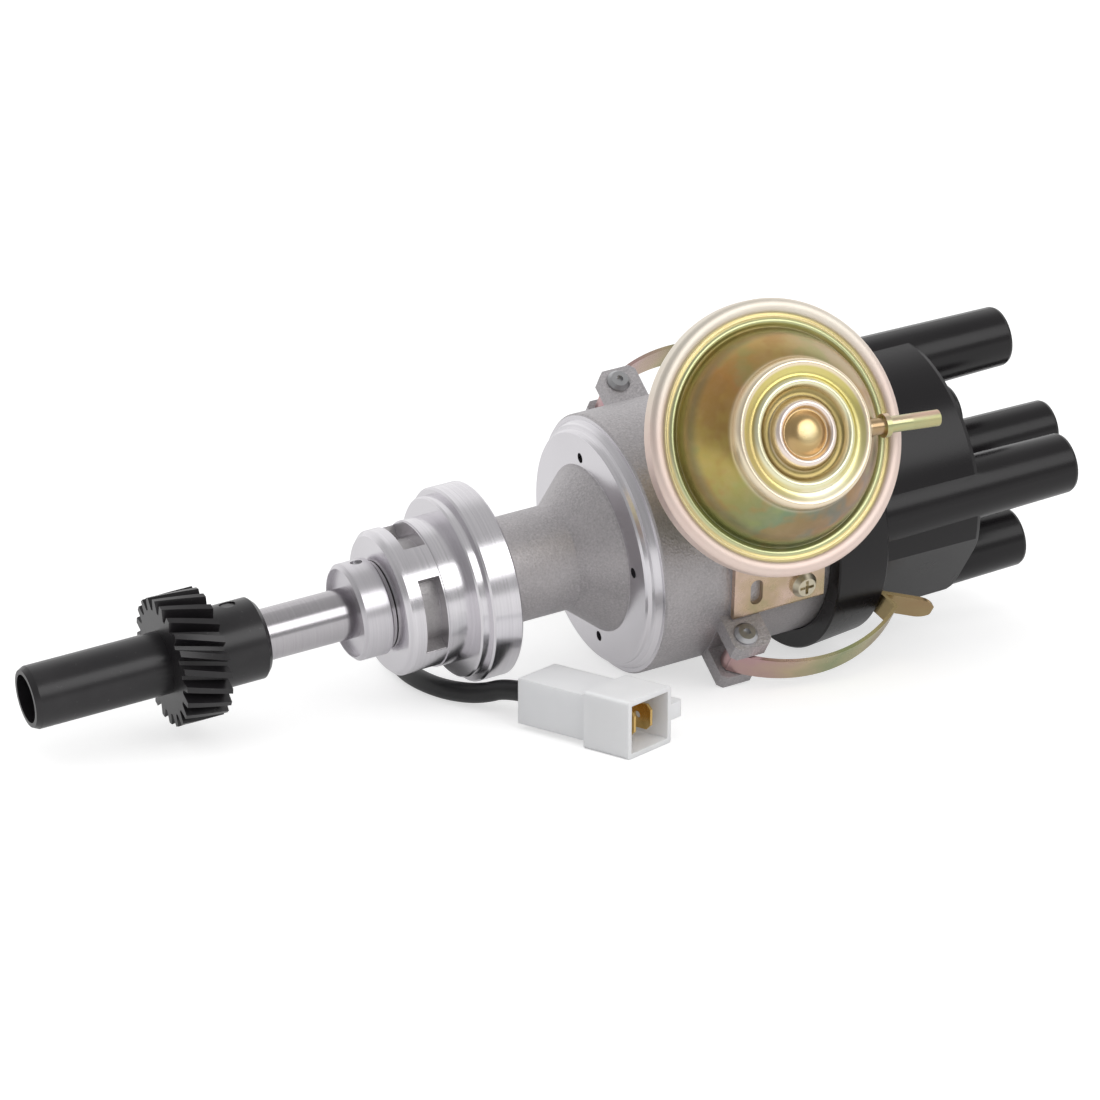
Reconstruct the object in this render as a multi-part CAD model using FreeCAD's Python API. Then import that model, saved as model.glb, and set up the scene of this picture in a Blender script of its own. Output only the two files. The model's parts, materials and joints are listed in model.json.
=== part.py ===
"""Ignition distributor for a four-cylinder engine, with vacuum and centrifugal advance.

Millimetres. The model is drawn with its shaft along X and then pitched nose up, the way the
distributor lies on a table. The origin is on the shaft axis at the mounting face of the big collar,
+X points towards the cap, +Z is up. Radial features are drawn with their outward direction along Z
and then turned about the shaft axis to their clock angle, measured from +Z towards +Y.
"""
import FreeCAD
import Part
import math
import os

V = FreeCAD.Vector
AXIS_X = V(1, 0, 0)
AXIS_Z = V(0, 0, 1)
CENTRE = V(0, 0, 0)

# Lie of the distributor on the table
PITCH = 6.59
TABLE_Z = -27.95

# General clearances
FIT = 0.04
END_PLAY = 0.2
AIR = 0.3

# Shaft and drive gear
SHAFT_R = 6.35
SHAFT_START = -71.0
SPIGOT_R = 5.0
SPIGOT_START = 57.5
SLEEVE_R = 7.7
SLEEVE_START = -107.9
SLEEVE_CHAMFER = 1.4
SOCKET_DEPTH = 32.0
SOCKET_R = 4.9
SOCKET_LEAD_R = 5.9
SOCKET_LEAD = 3.5
SERRATION_COUNT = 14
SERRATION_DEPTH = 0.7
GEAR_START = -73.5
GEAR_END = -61.9
GEAR_TIP_R = 15.8
GEAR_TOOTH_DEPTH = 2.9
GEAR_TEETH = 22
GEAR_TWIST = 14.1
HUB_R = 10.1
HUB_END = -48.7
HUB_CHAMFER = 1.2
GEAR_PIN_R = 2.0
GEAR_PIN_X = -55.3

# Thrust collar and washer on the shaft
COLLAR_R = 12.1
COLLAR_START = -25.7
COLLAR_END = -18.0
COLLAR_CHAMFER = 0.9
COLLAR_DISH_R = 10.7
COLLAR_DISH = 1.4
WASHER_R = 11.0
COLLAR_PIN_R = 1.5

# Housing shank, from the lower end up to the bowl
SHANK_START = -16.7
SHANK_R = 18.2
SHANK_CHAMFER = 1.2
PILOT_START = -6.2
PILOT_R = 18.45
WINDOW_START = -12.3
WINDOW_END = -6.6
WINDOW_FLOOR_R = 14.2
WINDOW_SPAN = 62.0
LIP_R = 22.8
LIP_LENGTH = 4.5
GROOVE_R = 21.9
GROOVE_WIDTH = 0.6
BIG_COLLAR_R = 24.5
BIG_COLLAR_END = 10.5
NECK_R = 13.4
NECK_END = 31.5
NECK_FILLET = 1.5
CONE_R = 21.1

# Bowl
BOWL_R = 33.3
BOWL_WALL = 3.1
BOWL_LEDGE_WIDTH = 1.2
BOWL_FACE = 41.0
BOWL_FACE_R = BOWL_R - 3.9
BOWL_BAND_R = BOWL_R - 1.4
BOWL_BAND_END = 44.5
BOWL_FLOOR = 46.5
BOWL_UPPER_R = BOWL_R - BOWL_WALL
BOWL_INNER_R = BOWL_UPPER_R - BOWL_LEDGE_WIDTH
BOWL_LEDGE = 64.0
BOWL_RIM = 96.0
DRAIN_R = 1.3
DRAIN_CIRCLE_R = BOWL_INNER_R - 5.4

# Bushes in the shank
BUSH_R = 8.2
BUSH_LENGTH = 18.0
UPPER_BUSH_START = 26.5

# Clips: lugs cast on the bowl, pins and spring bails, lower one at this clock angle
CLIP_ANGLES = {"lower": -132.0, "upper": 48.0}
LUG_START = 60.1
LUG_LENGTH = 10.2
LUG_TOP = BOWL_R + 9.15
LUG_HALF = 9.2
LUG_SLOT_HALF = 4.4
LUG_CHAMFER = 1.3
CLIP_PIN_X = 64.3
CLIP_PIN_RAD = BOWL_R + 5.2
CLIP_PIN_R = 2.0
CLIP_HEAD_R = 3.0
CLIP_HEAD_H = 1.5
BAIL_HALF = 4.0
BAIL_THICK = 0.9

# Advance mechanism in the bowl
CARRIER_START = 49.5
CARRIER_THICK = 2.4
CARRIER_R = BOWL_INNER_R - 3.0
WEIGHT_START = 52.3
WEIGHT_THICK = 5.2
WEIGHT_PIVOT_RAD = 17.0
WEIGHT_PIVOT_R = 2.2
WEIGHT_INNER_R = 13.5
WEIGHT_OUTER_R = CARRIER_R - 4.0
WEIGHT_SPAN = 100.0
DRIVE_PIN_RAD = 9.2
DRIVE_PIN_R = 1.4
CAM_PLATE_START = 57.9
CAM_PLATE_THICK = 2.0
CAM_PLATE_R = 13.0
CAM_SLEEVE_R = 7.6
CAM_SLEEVE_END = 106.0
SPIGOT_END = CAM_SLEEVE_END - 2.5
SPRING_POST_RAD = 12.2
SPRING_POST_ANGLE = 42.0
SPRING_ANCHOR_RAD = CARRIER_R - 2.0
SPRING_ANCHOR_ANGLE = 62.0
SPRING_POST_R = 0.9
SPRING_COIL_R = 1.7
SPRING_WIRE_R = 0.35

# Pickup
BASE_PLATE_THICK = 1.8
BEARING_RING_R = 15.0
BEARING_RING_BORE = 13.0
PICKUP_PLATE_START = 66.1
PICKUP_PLATE_THICK = 1.8
PICKUP_PLATE_R = BOWL_UPPER_R - 1.6
BEARING_RING_END = 69.4
RELUCTOR_START = 78.0
RELUCTOR_LENGTH = 7.0
RELUCTOR_HUB_R = 10.2
RELUCTOR_TIP_R = 15.0
RELUCTOR_VANES = 4
VANE_WIDTH = 4.0
POLE_GAP = 0.5
MAGNET_R = PICKUP_PLATE_R - 0.6
MAGNET_BORE = 16.0
MAGNET_THICK = 2.6
COIL_WALL = 3.4
MODULE_LENGTH = 20.0
MODULE_HALF = 9.0
MODULE_R = PICKUP_PLATE_R - 2.6
MODULE_ANGLE = -162.0
POLE_END = MODULE_R - 2.0
COIL_START = POLE_END - 4.8

# Rotor
ROTOR_START = CAM_SLEEVE_END - 6.0
ROTOR_HUB_R = 11.5
ROTOR_ARM_START = CAM_SLEEVE_END + 6.0
ROTOR_ARM_END = ROTOR_ARM_START + 6.0
ROTOR_TOP = ROTOR_ARM_END + 3.5
ROTOR_ARM_HALF = 7.0
ROTOR_REACH = 21.8
CONTACT_THICK = 1.0

# Cap
CAP_WALL = 4.1
SKIRT_START = BOWL_RIM - 5.5
SKIRT_R = BOWL_R + 5.1
SKIRT_END = SKIRT_START + 15.0
SKIRT_END_R = SKIRT_R - 1.1
CAP_BODY_R = BOWL_R + 0.7
CAP_INNER_R = CAP_BODY_R - CAP_WALL
CAP_INNER_END = ROTOR_TOP + 5.5
CAP_BODY_END = CAP_INNER_END + 7.5
CAP_EDGE = 1.6
TOWER_CIRCLE = 27.5
TOWER_TIP = CAP_BODY_END + 28.1
TOWER_TIP_R = 7.74
CENTRE_TIP = TOWER_TIP + 12.6
CENTRE_TIP_R = 6.93
TOWER_TAPER = 0.0156
TOWER_SOCKET_R = 4.5
TOWER_SOCKET_DEPTH = 22.0
TOWER_EDGE = 1.0
CLIP_FLAT = CAP_BODY_R - 2.3
TERMINAL_R = 2.9
TERMINAL_CIRCLE = TOWER_CIRCLE - 0.6
TERMINAL_GAP = 0.6

# Carbon brush in the cap
BRUSH_R = 2.5
BRUSH_LENGTH = 9.0
BRUSH_START = ROTOR_TOP + CONTACT_THICK + 0.1
BRUSH_WIRE_R = 0.3
CENTRE_TERMINAL_START = CAP_INNER_END + 10.0

# Vacuum unit, its axis square to the shaft
VACUUM_ANGLE = -72.1
VACUUM_X = 71.7
VACUUM_OFFSET = 17.5
RIM_H = 54.0
RIM_R = 33.4
SHEET = 1.0
REAR_DEPTH = 12.8
REAR_BACK_H = RIM_H - REAR_DEPTH
DISH_TOP = 17.4
REAR_CUP_R = 27.0
REAR_BACK_R = 20.0
ROD_HOLE_R = 5.0
ROD_WIDTH = 6.0
ROD_THICK = 1.5
ROD_EYE_H = -1.5
EYE_PIN_R = 1.5
NIPPLE_R = 2.0
NIPPLE_LENGTH = 18.6
NIPPLE_COLLAR_START = 3.5
NIPPLE_COLLAR_END = 4.9
NIPPLE_START = 18.6
NIPPLE_SIDE = -2.8
NIPPLE_H = 12.0
NIPPLE_TILT = 5.7
RIVETS = ((-6.3, 6.8), (12.2, -4.0))
RIVET_R = 1.6
RIVET_HEAD_R = 2.8
RIVET_HEAD_H = 1.0

# Bracket of the vacuum unit, its foot on a pad of the bowl
PAD_ANGLE = -104.4
PAD_RAD = BOWL_R + 0.4
PAD_HALF = 6.6
BRACKET_START = 62.6
BRACKET_END = 88.0
BRACKET_THICK = 1.5
BRACKET_RISE = 28.5
SCREW_X = 81.8
SCREW_U = -1.6
SLOT_X = 68.8
SLOT_U = -0.5
SLOT_HALF_LENGTH = 3.5
SLOT_R = 1.7
SCREW_R = 2.0
SCREW_HEAD_R = 3.4
SCREW_HEAD_H = 2.2

# Cable and its connector, on the table beside the shank
CABLE_R = 2.5
GROMMET_X = 72.0
GROMMET_ANGLE = 100.0
GROMMET_R = 5.0
GROMMET_OUT = 5.0
CONNECTOR_LENGTH = 34.4
CONNECTOR_WIDTH = 16.6
CONNECTOR_HEIGHT = 14.4
CONNECTOR_REAR_HEIGHT = 11.4
CONNECTOR_REAR_LENGTH = 21.0
CONNECTOR_REAR_WIDTH = 14.2
CONNECTOR_LATCH = 5.6
CONNECTOR_WALL = 1.3
CONNECTOR_HEADING = -65.0
CONNECTOR_BACK = (12.65, -27.4)
CONNECTOR_EXIT = 8.0
BLADE_WIDTH = 6.3
BLADE_THICK = 0.8
BLADE_PITCH = 6.4


def bar(x0, x1, r):
    """Round bar along the shaft axis."""
    return Part.makeCylinder(r, x1 - x0, V(x0, 0, 0), AXIS_X)


def tube(x0, x1, outer, inner):
    return bar(x0, x1, outer).cut(bar(x0 - 1, x1 + 1, inner))


def box(x0, x1, y0, y1, z0, z1):
    return Part.makeBox(x1 - x0, y1 - y0, z1 - z0, V(x0, y0, z0))


def turned(points):
    """Solid of revolution about the shaft axis, from (x, radius) points."""
    wire = Part.makePolygon([V(x, 0, r) for x, r in points + points[:1]])
    return Part.Face(wire).revolve(CENTRE, AXIS_X, 360)


def turned_z(points):
    """Solid of revolution about Z, from (radius, z) points."""
    wire = Part.makePolygon([V(r, 0, z) for r, z in points + points[:1]])
    return Part.Face(wire).revolve(CENTRE, AXIS_Z, 360)


def clock(shape, angle):
    """Turn a shape drawn with its outward direction along Z to a clock angle."""
    shape = shape.copy()
    shape.rotate(CENTRE, AXIS_X, -angle)
    return shape


def post(x0, x1, r, radius, angle=0):
    """Round post parallel to the shaft, at a radius and clock angle."""
    return clock(Part.makeCylinder(r, x1 - x0, V(x0, 0, radius), AXIS_X), angle)


def spoke(x, r, z0, z1, y=0):
    """Round bar along Z, which is the radial direction before clocking."""
    return Part.makeCylinder(r, z1 - z0, V(x, y, z0), AXIS_Z)


def cross_bar(x, z, r, y0, y1):
    """Round bar along Y, which is the tangential direction before clocking."""
    return Part.makeCylinder(r, y1 - y0, V(x, y0, z), V(0, 1, 0))


def fused(shapes):
    return shapes[0].multiFuse(shapes[1:]).removeSplitter()


def group(shapes):
    return Part.makeCompound(shapes)


def sector(x0, x1, r0, r1, half_angle):
    """Part of a ring, centred on Z."""
    piece = tube(x0, x1, r1, r0)
    reach = 3 * r1
    side = reach * math.tan(math.radians(half_angle))
    wedge = Part.makePolygon([V(x0, 0, 0), V(x0, side, reach), V(x0, -side, reach), V(x0, 0, 0)])
    return piece.common(Part.Face(wedge).extrude(V(x1 - x0, 0, 0)))


def edges_along(shape, direction, test):
    """Straight edges parallel to a direction whose midpoint passes a test."""
    found = []
    for edge in shape.Edges:
        if not isinstance(edge.Curve, Part.Line):
            continue
        if abs(abs(edge.Curve.Direction.dot(direction)) - 1) > 1e-6:
            continue
        if test(edge.CenterOfMass):
            found.append(edge)
    return found


def spring(start, end, coil_r, wire_r, turns):
    """Coil spring between two points."""
    length = (end - start).Length
    helix = Part.makeHelix(length / turns, length, coil_r)
    section = Part.Wire(Part.makeCircle(wire_r, V(coil_r, 0, 0), V(0, 1, 0)))
    coil = Part.Wire(helix).makePipeShell([section], True, True)
    coil.Placement = FreeCAD.Placement(start, FreeCAD.Rotation(AXIS_Z, end - start))
    return coil


def smooth_path(points):
    """Straight runs joined by tangent arcs, each arc as large as its two runs allow."""
    edges = []
    last = points[0]
    for before, at, after in zip(points, points[1:], points[2:]):
        inward = at - before
        outward = after - at
        reach = 0.45 * min(inward.Length, outward.Length)
        inward.normalize()
        outward.normalize()
        turn = inward.getAngle(outward)
        radius = reach / math.tan(turn / 2)
        start = at - inward * reach
        end = at + outward * reach
        bisector = (outward - inward).normalize()
        middle = at + bisector * (radius / math.cos(turn / 2) - radius)
        edges.append(Part.LineSegment(last, start).toShape())
        edges.append(Part.Arc(start, middle, end).toShape())
        last = end
    edges.append(Part.LineSegment(last, points[-1]).toShape())
    return Part.Wire(edges)


def straight_edges(points):
    """Straight edges through (radius, z) points."""
    return [Part.makeLine(V(r0, 0, z0), V(r1, 0, z1)) for (r0, z0), (r1, z1) in zip(points, points[1:])]


def smooth_curve(points):
    """Smooth curve led by an outline of (radius, z) points, as pressed sheet metal follows its die."""
    curve = Part.BSplineCurve()
    curve.buildFromPoles([V(r, 0, z) for r, z in points], False, 3)
    return curve.toShape()


def drive_gear():
    """Serrated drive sleeve, helical gear and hub in one piece."""
    root_r = GEAR_TIP_R - GEAR_TOOTH_DEPTH
    step = 2 * math.pi / GEAR_TEETH
    shares = ((-0.36, root_r), (-0.17, GEAR_TIP_R), (0.17, GEAR_TIP_R), (0.36, root_r))
    sections = []
    stations = 4
    for k in range(stations + 1):
        share = k / stations
        x = GEAR_START + share * (GEAR_END - GEAR_START)
        turn = math.radians(GEAR_TWIST) * share
        outline = []
        for tooth in range(GEAR_TEETH):
            for offset, r in shares:
                a = turn + (tooth + offset) * step
                outline.append(V(x, -r * math.sin(a), r * math.cos(a)))
        sections.append(Part.makePolygon(outline + outline[:1]))
    teeth = Part.makeLoft(sections, True, False)
    sleeve = turned([
        (SLEEVE_START, 0), (SLEEVE_START, SLEEVE_R - SLEEVE_CHAMFER / 2),
        (SLEEVE_START + SLEEVE_CHAMFER, SLEEVE_R), (GEAR_START + 1, SLEEVE_R), (GEAR_START + 1, 0)])
    hub = turned([
        (GEAR_END - 1, 0), (GEAR_END - 1, HUB_R), (HUB_END - HUB_CHAMFER, HUB_R),
        (HUB_END, HUB_R - HUB_CHAMFER), (HUB_END, 0)])
    body = teeth.multiFuse([sleeve, hub])
    socket = bar(SLEEVE_START - 1, SLEEVE_START + SOCKET_DEPTH, SOCKET_R)
    lead = bar(SLEEVE_START - 1, SLEEVE_START + SOCKET_LEAD, SOCKET_LEAD_R)
    body = body.cut(socket).cut(lead)
    groove_start = SLEEVE_START + SOCKET_LEAD - 0.2
    groove_end = SLEEVE_START + SOCKET_DEPTH
    half = SOCKET_R * math.pi / SERRATION_COUNT * 0.55
    outline = [V(groove_start, -half, SOCKET_R - 0.4), V(groove_start, 0, SOCKET_R + SERRATION_DEPTH),
               V(groove_start, half, SOCKET_R - 0.4), V(groove_start, -half, SOCKET_R - 0.4)]
    groove = Part.Face(Part.makePolygon(outline)).extrude(V(groove_end - groove_start, 0, 0))
    body = body.cut([clock(groove, k * 360 / SERRATION_COUNT) for k in range(SERRATION_COUNT)])
    body = body.cut(bar(SHAFT_START, HUB_END + 1, SHAFT_R))
    return body.cut(spoke(GEAR_PIN_X, GEAR_PIN_R, -HUB_R - 1, HUB_R + 1))


def gear_pin():
    return spoke(GEAR_PIN_X, GEAR_PIN_R, -HUB_R + 0.4, HUB_R - 0.4)


def shaft():
    lower = bar(SHAFT_START, SPIGOT_START, SHAFT_R)
    upper = bar(SPIGOT_START, SPIGOT_END, SPIGOT_R)
    groove = tube(SPIGOT_END - 2.4, SPIGOT_END - 1.4, SPIGOT_R + 1, SPIGOT_R - 0.5)
    body = fused([lower, upper]).cut(groove)
    body = body.cut(spoke(GEAR_PIN_X, GEAR_PIN_R, -HUB_R, HUB_R))
    body = body.cut(spoke(COLLAR_START + 4.5, COLLAR_PIN_R, -COLLAR_R, COLLAR_R))
    return body


def thrust_collar():
    dish_floor = COLLAR_START + COLLAR_DISH
    body = turned([
        (dish_floor, SHAFT_R), (dish_floor, COLLAR_DISH_R), (COLLAR_START, COLLAR_DISH_R + 0.3),
        (COLLAR_START, COLLAR_R - COLLAR_CHAMFER), (COLLAR_START + COLLAR_CHAMFER, COLLAR_R),
        (COLLAR_END - 0.4, COLLAR_R), (COLLAR_END, COLLAR_R - 0.4), (COLLAR_END, SHAFT_R)])
    return body.cut(spoke(COLLAR_START + 4.5, COLLAR_PIN_R, -COLLAR_R - 1, COLLAR_R + 1))


def collar_pin():
    return spoke(COLLAR_START + 4.5, COLLAR_PIN_R, -COLLAR_R + 0.6, COLLAR_R - 0.6)


def thrust_washer():
    return tube(COLLAR_END, SHANK_START - END_PLAY, WASHER_R, SHAFT_R)


def clip_lug(angle):
    """Pair of ears cast on the bowl, slotted for the bail."""
    lug = box(LUG_START, LUG_START + LUG_LENGTH, -LUG_HALF, LUG_HALF, BOWL_R - 4, LUG_TOP)
    outer = edges_along(lug, V(0, 1, 0), lambda p: p.z > LUG_TOP - 1)
    lug = lug.makeChamfer(LUG_CHAMFER, outer)
    slot = box(LUG_START - 1, LUG_START + LUG_LENGTH + 1, -LUG_SLOT_HALF, LUG_SLOT_HALF,
               BOWL_R + 0.2, LUG_TOP + 1)
    hole = cross_bar(CLIP_PIN_X, CLIP_PIN_RAD, CLIP_PIN_R, -LUG_HALF - 1, LUG_HALF + 1)
    return clock(lug.cut(slot).cut(hole), angle)


def clip_pin(angle):
    """Headed pin through both ears, upset at its far end."""
    shank = cross_bar(CLIP_PIN_X, CLIP_PIN_RAD, CLIP_PIN_R, -LUG_HALF - 0.2, LUG_HALF + 0.2)
    head = turned_z([(0, 0), (CLIP_HEAD_R, 0), (CLIP_HEAD_R, 0.4 * CLIP_HEAD_H),
                     (0.72 * CLIP_HEAD_R, CLIP_HEAD_H), (0, CLIP_HEAD_H)])
    recess = Part.makeCylinder(0.9, CLIP_HEAD_H, V(0, 0, 0.45 * CLIP_HEAD_H), AXIS_Z)
    head = head.cut(recess)
    near = head.copy()
    near.Placement = FreeCAD.Placement(V(CLIP_PIN_X, LUG_HALF, CLIP_PIN_RAD),
                                       FreeCAD.Rotation(AXIS_Z, V(0, 1, 0)))
    far = head.copy()
    far.Placement = FreeCAD.Placement(V(CLIP_PIN_X, -LUG_HALF, CLIP_PIN_RAD),
                                      FreeCAD.Rotation(AXIS_Z, V(0, -1, 0)))
    return clock(fused([shank, near, far]), angle)


def bail(angle):
    """Spring strip: an eye on the pin, a bow over the skirt, a hook and a finger tab."""
    start = V(CLIP_PIN_X - 2.2, 0, CLIP_PIN_RAD + 1.5)
    crest = V((CLIP_PIN_X + SKIRT_END) / 2 + 0.7, 0, SKIRT_R + 9.2)
    corner = V(SKIRT_END + 2.9, 0, SKIRT_END_R + 2.4)
    hook = V(SKIRT_END + 0.9, 0, CAP_BODY_R + 1.0)
    tip = V(SKIRT_END + 13.5, 0, CAP_BODY_R + 7.4)
    path = Part.Wire([Part.Arc(start, crest, corner).toShape(), Part.makeLine(corner, hook),
                      Part.makeLine(hook, tip)])
    strip = path.makeOffset2D(BAIL_THICK / 2, 0, True, False, False)
    if not strip.Faces:
        strip = Part.Face(strip)
    strip.translate(V(0, -BAIL_HALF, 0))
    body = strip.extrude(V(0, 2 * BAIL_HALF, 0))
    eye = cross_bar(CLIP_PIN_X, CLIP_PIN_RAD, CLIP_PIN_R + FIT + BAIL_THICK, -BAIL_HALF, BAIL_HALF)
    hole = cross_bar(CLIP_PIN_X, CLIP_PIN_RAD, CLIP_PIN_R + FIT, -BAIL_HALF - 1, BAIL_HALF + 1)
    body = body.fuse(eye).cut(hole).removeSplitter()
    finger = box(tip.x - BAIL_HALF, tip.x + 5, -BAIL_HALF - 1, BAIL_HALF + 1, tip.z - 9, tip.z + 5)
    rounded = spoke(tip.x - BAIL_HALF + BAIL_THICK / 2, BAIL_HALF, tip.z - 10, tip.z + 6)
    body = body.cut(finger.cut(rounded))
    return clock(body, angle)


def pad():
    """Flat pad on the bowl for the foot of the vacuum bracket."""
    body = box(BRACKET_START, BRACKET_END, -PAD_HALF, PAD_HALF + 3, BOWL_R - 4, PAD_RAD)
    return clock(body, PAD_ANGLE)


def vacuum_frame(shape):
    """Place a shape drawn about Z at the vacuum unit's axis."""
    shape = shape.copy()
    shape.translate(V(VACUUM_X, VACUUM_OFFSET, 0))
    return clock(shape, VACUUM_ANGLE)


def housing():
    """Aluminium casting: windowed shank, mounting collar, neck and bowl."""
    groove_start = LIP_LENGTH
    groove_end = LIP_LENGTH + GROOVE_WIDTH
    body = turned([
        (SHANK_START, 0), (SHANK_START, SHANK_R - SHANK_CHAMFER),
        (SHANK_START + SHANK_CHAMFER, SHANK_R), (PILOT_START, SHANK_R), (PILOT_START, PILOT_R),
        (0, PILOT_R), (0, LIP_R - 0.4), (0.4, LIP_R),
        (groove_start, LIP_R), (groove_start, GROOVE_R), (groove_end, GROOVE_R),
        (groove_end, BIG_COLLAR_R - 0.5), (groove_end + 0.5, BIG_COLLAR_R),
        (BIG_COLLAR_END - 0.5, BIG_COLLAR_R), (BIG_COLLAR_END, BIG_COLLAR_R - 0.5),
        (BIG_COLLAR_END, NECK_R + NECK_FILLET), (BIG_COLLAR_END + 0.45, NECK_R + 0.45),
        (BIG_COLLAR_END + NECK_FILLET, NECK_R), (NECK_END, NECK_R), (BOWL_FACE - 0.5, CONE_R),
        (BOWL_FACE, CONE_R + 0.2), (BOWL_FACE, BOWL_FACE_R), (BOWL_FACE + 0.5, BOWL_FACE_R + 0.5),
        (BOWL_FACE + 1.5, BOWL_FACE_R + 0.7), (BOWL_FACE + 1.9, BOWL_FACE_R + 1.5),
        (BOWL_BAND_END, BOWL_BAND_R), (BOWL_BAND_END, BOWL_R - 0.5), (BOWL_BAND_END + 0.6, BOWL_R),
        (BOWL_RIM - 0.5, BOWL_R), (BOWL_RIM, BOWL_R - 0.5), (BOWL_RIM, 0)])
    body = body.multiFuse([clip_lug(a) for a in CLIP_ANGLES.values()] + [pad(), grommet_boss()])
    cavity = turned([
        (SHANK_START - 1, 0), (SHANK_START - 1, BUSH_R), (BOWL_FLOOR, BUSH_R),
        (BOWL_FLOOR, BOWL_INNER_R), (BOWL_LEDGE, BOWL_INNER_R), (BOWL_LEDGE, BOWL_UPPER_R),
        (BOWL_RIM + 1, BOWL_UPPER_R), (BOWL_RIM + 1, 0)])
    body = body.cut(cavity)
    window = sector(WINDOW_START, WINDOW_END, WINDOW_FLOOR_R, SHANK_R + 2, WINDOW_SPAN / 2)
    cutters = [clock(window, 90 * k) for k in range(4)]
    cutters += [post(BOWL_FACE - 1, BOWL_FLOOR + 1, DRAIN_R, DRAIN_CIRCLE_R, 90 * k) for k in range(4)]
    rod_slot = box(-4, 4, -ROD_WIDTH / 2 - 1, ROD_WIDTH / 2 + 1, BOWL_INNER_R - 9, BOWL_R + 6.7)
    cutters.append(vacuum_frame(rod_slot))
    hole = spoke(SCREW_X, SCREW_R, PAD_RAD - 8, PAD_RAD + 1, SCREW_U)
    cutters.append(clock(hole, PAD_ANGLE))
    cutters.append(clock(spoke(GROMMET_X, GROMMET_R - 1.2, BOWL_INNER_R - 4, BOWL_R + 10), GROMMET_ANGLE))
    return body.cut(cutters).removeSplitter()


def grommet_boss():
    return clock(spoke(GROMMET_X, GROMMET_R + 1.6, BOWL_INNER_R + 1, BOWL_R + 1.2), GROMMET_ANGLE)


def bush(start):
    return tube(start, start + BUSH_LENGTH, BUSH_R, SHAFT_R + FIT)


def tower(tip, tip_r, radius):
    """Tapered tower from the body to its tip, with a rounded mouth edge."""
    foot_r = tip_r + TOWER_TAPER * (tip - SKIRT_START - 6)
    edge = TOWER_EDGE
    body = turned([
        (SKIRT_START + 6, 0), (SKIRT_START + 6, foot_r), (tip - edge, tip_r),
        (tip - 0.3 * edge, tip_r - 0.3 * edge), (tip, tip_r - edge), (tip, 0)])
    body.translate(V(0, 0, radius))
    return body


def cap():
    """Moulded cap: skirt, body with clip flats, four towers and the centre tower."""
    body = turned([
        (SKIRT_START, 0), (SKIRT_START, SKIRT_R - 0.4), (SKIRT_START + 0.4, SKIRT_R),
        (SKIRT_END - 0.8, SKIRT_END_R), (SKIRT_END, SKIRT_END_R - 0.8), (SKIRT_END, CAP_BODY_R + 0.3),
        (CAP_BODY_END - CAP_EDGE, CAP_BODY_R), (CAP_BODY_END - 0.3 * CAP_EDGE, CAP_BODY_R - 0.3 * CAP_EDGE),
        (CAP_BODY_END, CAP_BODY_R - CAP_EDGE), (CAP_BODY_END, 0)])
    flat = box(SKIRT_END, CAP_BODY_END + 1, -CAP_BODY_R, CAP_BODY_R, CLIP_FLAT, CAP_BODY_R + 1)
    body = body.cut([clock(flat, a) for a in CLIP_ANGLES.values()])
    outer = tower(TOWER_TIP, TOWER_TIP_R, TOWER_CIRCLE)
    towers = [clock(outer, 90 * k) for k in range(4)]
    towers.append(tower(CENTRE_TIP, CENTRE_TIP_R, 0))
    body = body.multiFuse(towers)
    cavity = turned([
        (SKIRT_START - 1, 0), (SKIRT_START - 1, BOWL_R + AIR), (BOWL_RIM, BOWL_R + AIR),
        (BOWL_RIM, CAP_INNER_R), (CAP_INNER_END - 1.5, CAP_INNER_R),
        (CAP_INNER_END, CAP_INNER_R - 1.5), (CAP_INNER_END, 0)])
    body = body.cut(cavity)
    cuts = [post(TOWER_TIP - TOWER_SOCKET_DEPTH, TOWER_TIP + 1, TOWER_SOCKET_R, TOWER_CIRCLE, 90 * k)
            for k in range(4)]
    cuts += [post(CAP_INNER_END - 3, TOWER_TIP, TERMINAL_R, TERMINAL_CIRCLE, 90 * k) for k in range(4)]
    cuts.append(bar(CENTRE_TIP - TOWER_SOCKET_DEPTH, CENTRE_TIP + 1, TOWER_SOCKET_R))
    cuts.append(bar(CAP_INNER_END - 1, CENTRE_TIP, BRUSH_R + FIT))
    return body.cut(cuts).removeSplitter()


def cap_terminals():
    """Four side electrodes and the centre electrode, moulded into the cap."""
    pieces = []
    for k in range(4):
        rod = post(ROTOR_ARM_START - 2, TOWER_TIP - TOWER_SOCKET_DEPTH, TERMINAL_R,
                   TERMINAL_CIRCLE, 90 * k)
        pieces.append(rod)
    pieces.append(bar(CENTRE_TERMINAL_START, CENTRE_TIP - TOWER_SOCKET_DEPTH, BRUSH_R + FIT))
    return group(pieces)


def carbon_brush():
    return bar(BRUSH_START, BRUSH_START + BRUSH_LENGTH, BRUSH_R)


def brush_spring():
    start = BRUSH_START + BRUSH_LENGTH + BRUSH_WIRE_R + 0.05
    end = CENTRE_TERMINAL_START - BRUSH_WIRE_R - 0.05
    return spring(V(start, 0, 0), V(end, 0, 0), BRUSH_R - 0.8, BRUSH_WIRE_R, 4)


def weight_carrier():
    """Plate pressed on the shaft, with pivot posts and spring anchors."""
    end = CARRIER_START + CARRIER_THICK
    pieces = [tube(CARRIER_START, end, CARRIER_R, SHAFT_R)]
    for turn in (0, 180):
        pieces.append(post(end - 0.5, WEIGHT_START + WEIGHT_THICK + 0.1, WEIGHT_PIVOT_R,
                           WEIGHT_PIVOT_RAD, turn))
        pieces.append(post(end - 0.5, WEIGHT_START + WEIGHT_THICK - 0.6, SPRING_POST_R,
                           SPRING_ANCHOR_RAD, turn + SPRING_ANCHOR_ANGLE))
    return fused(pieces)


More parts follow.
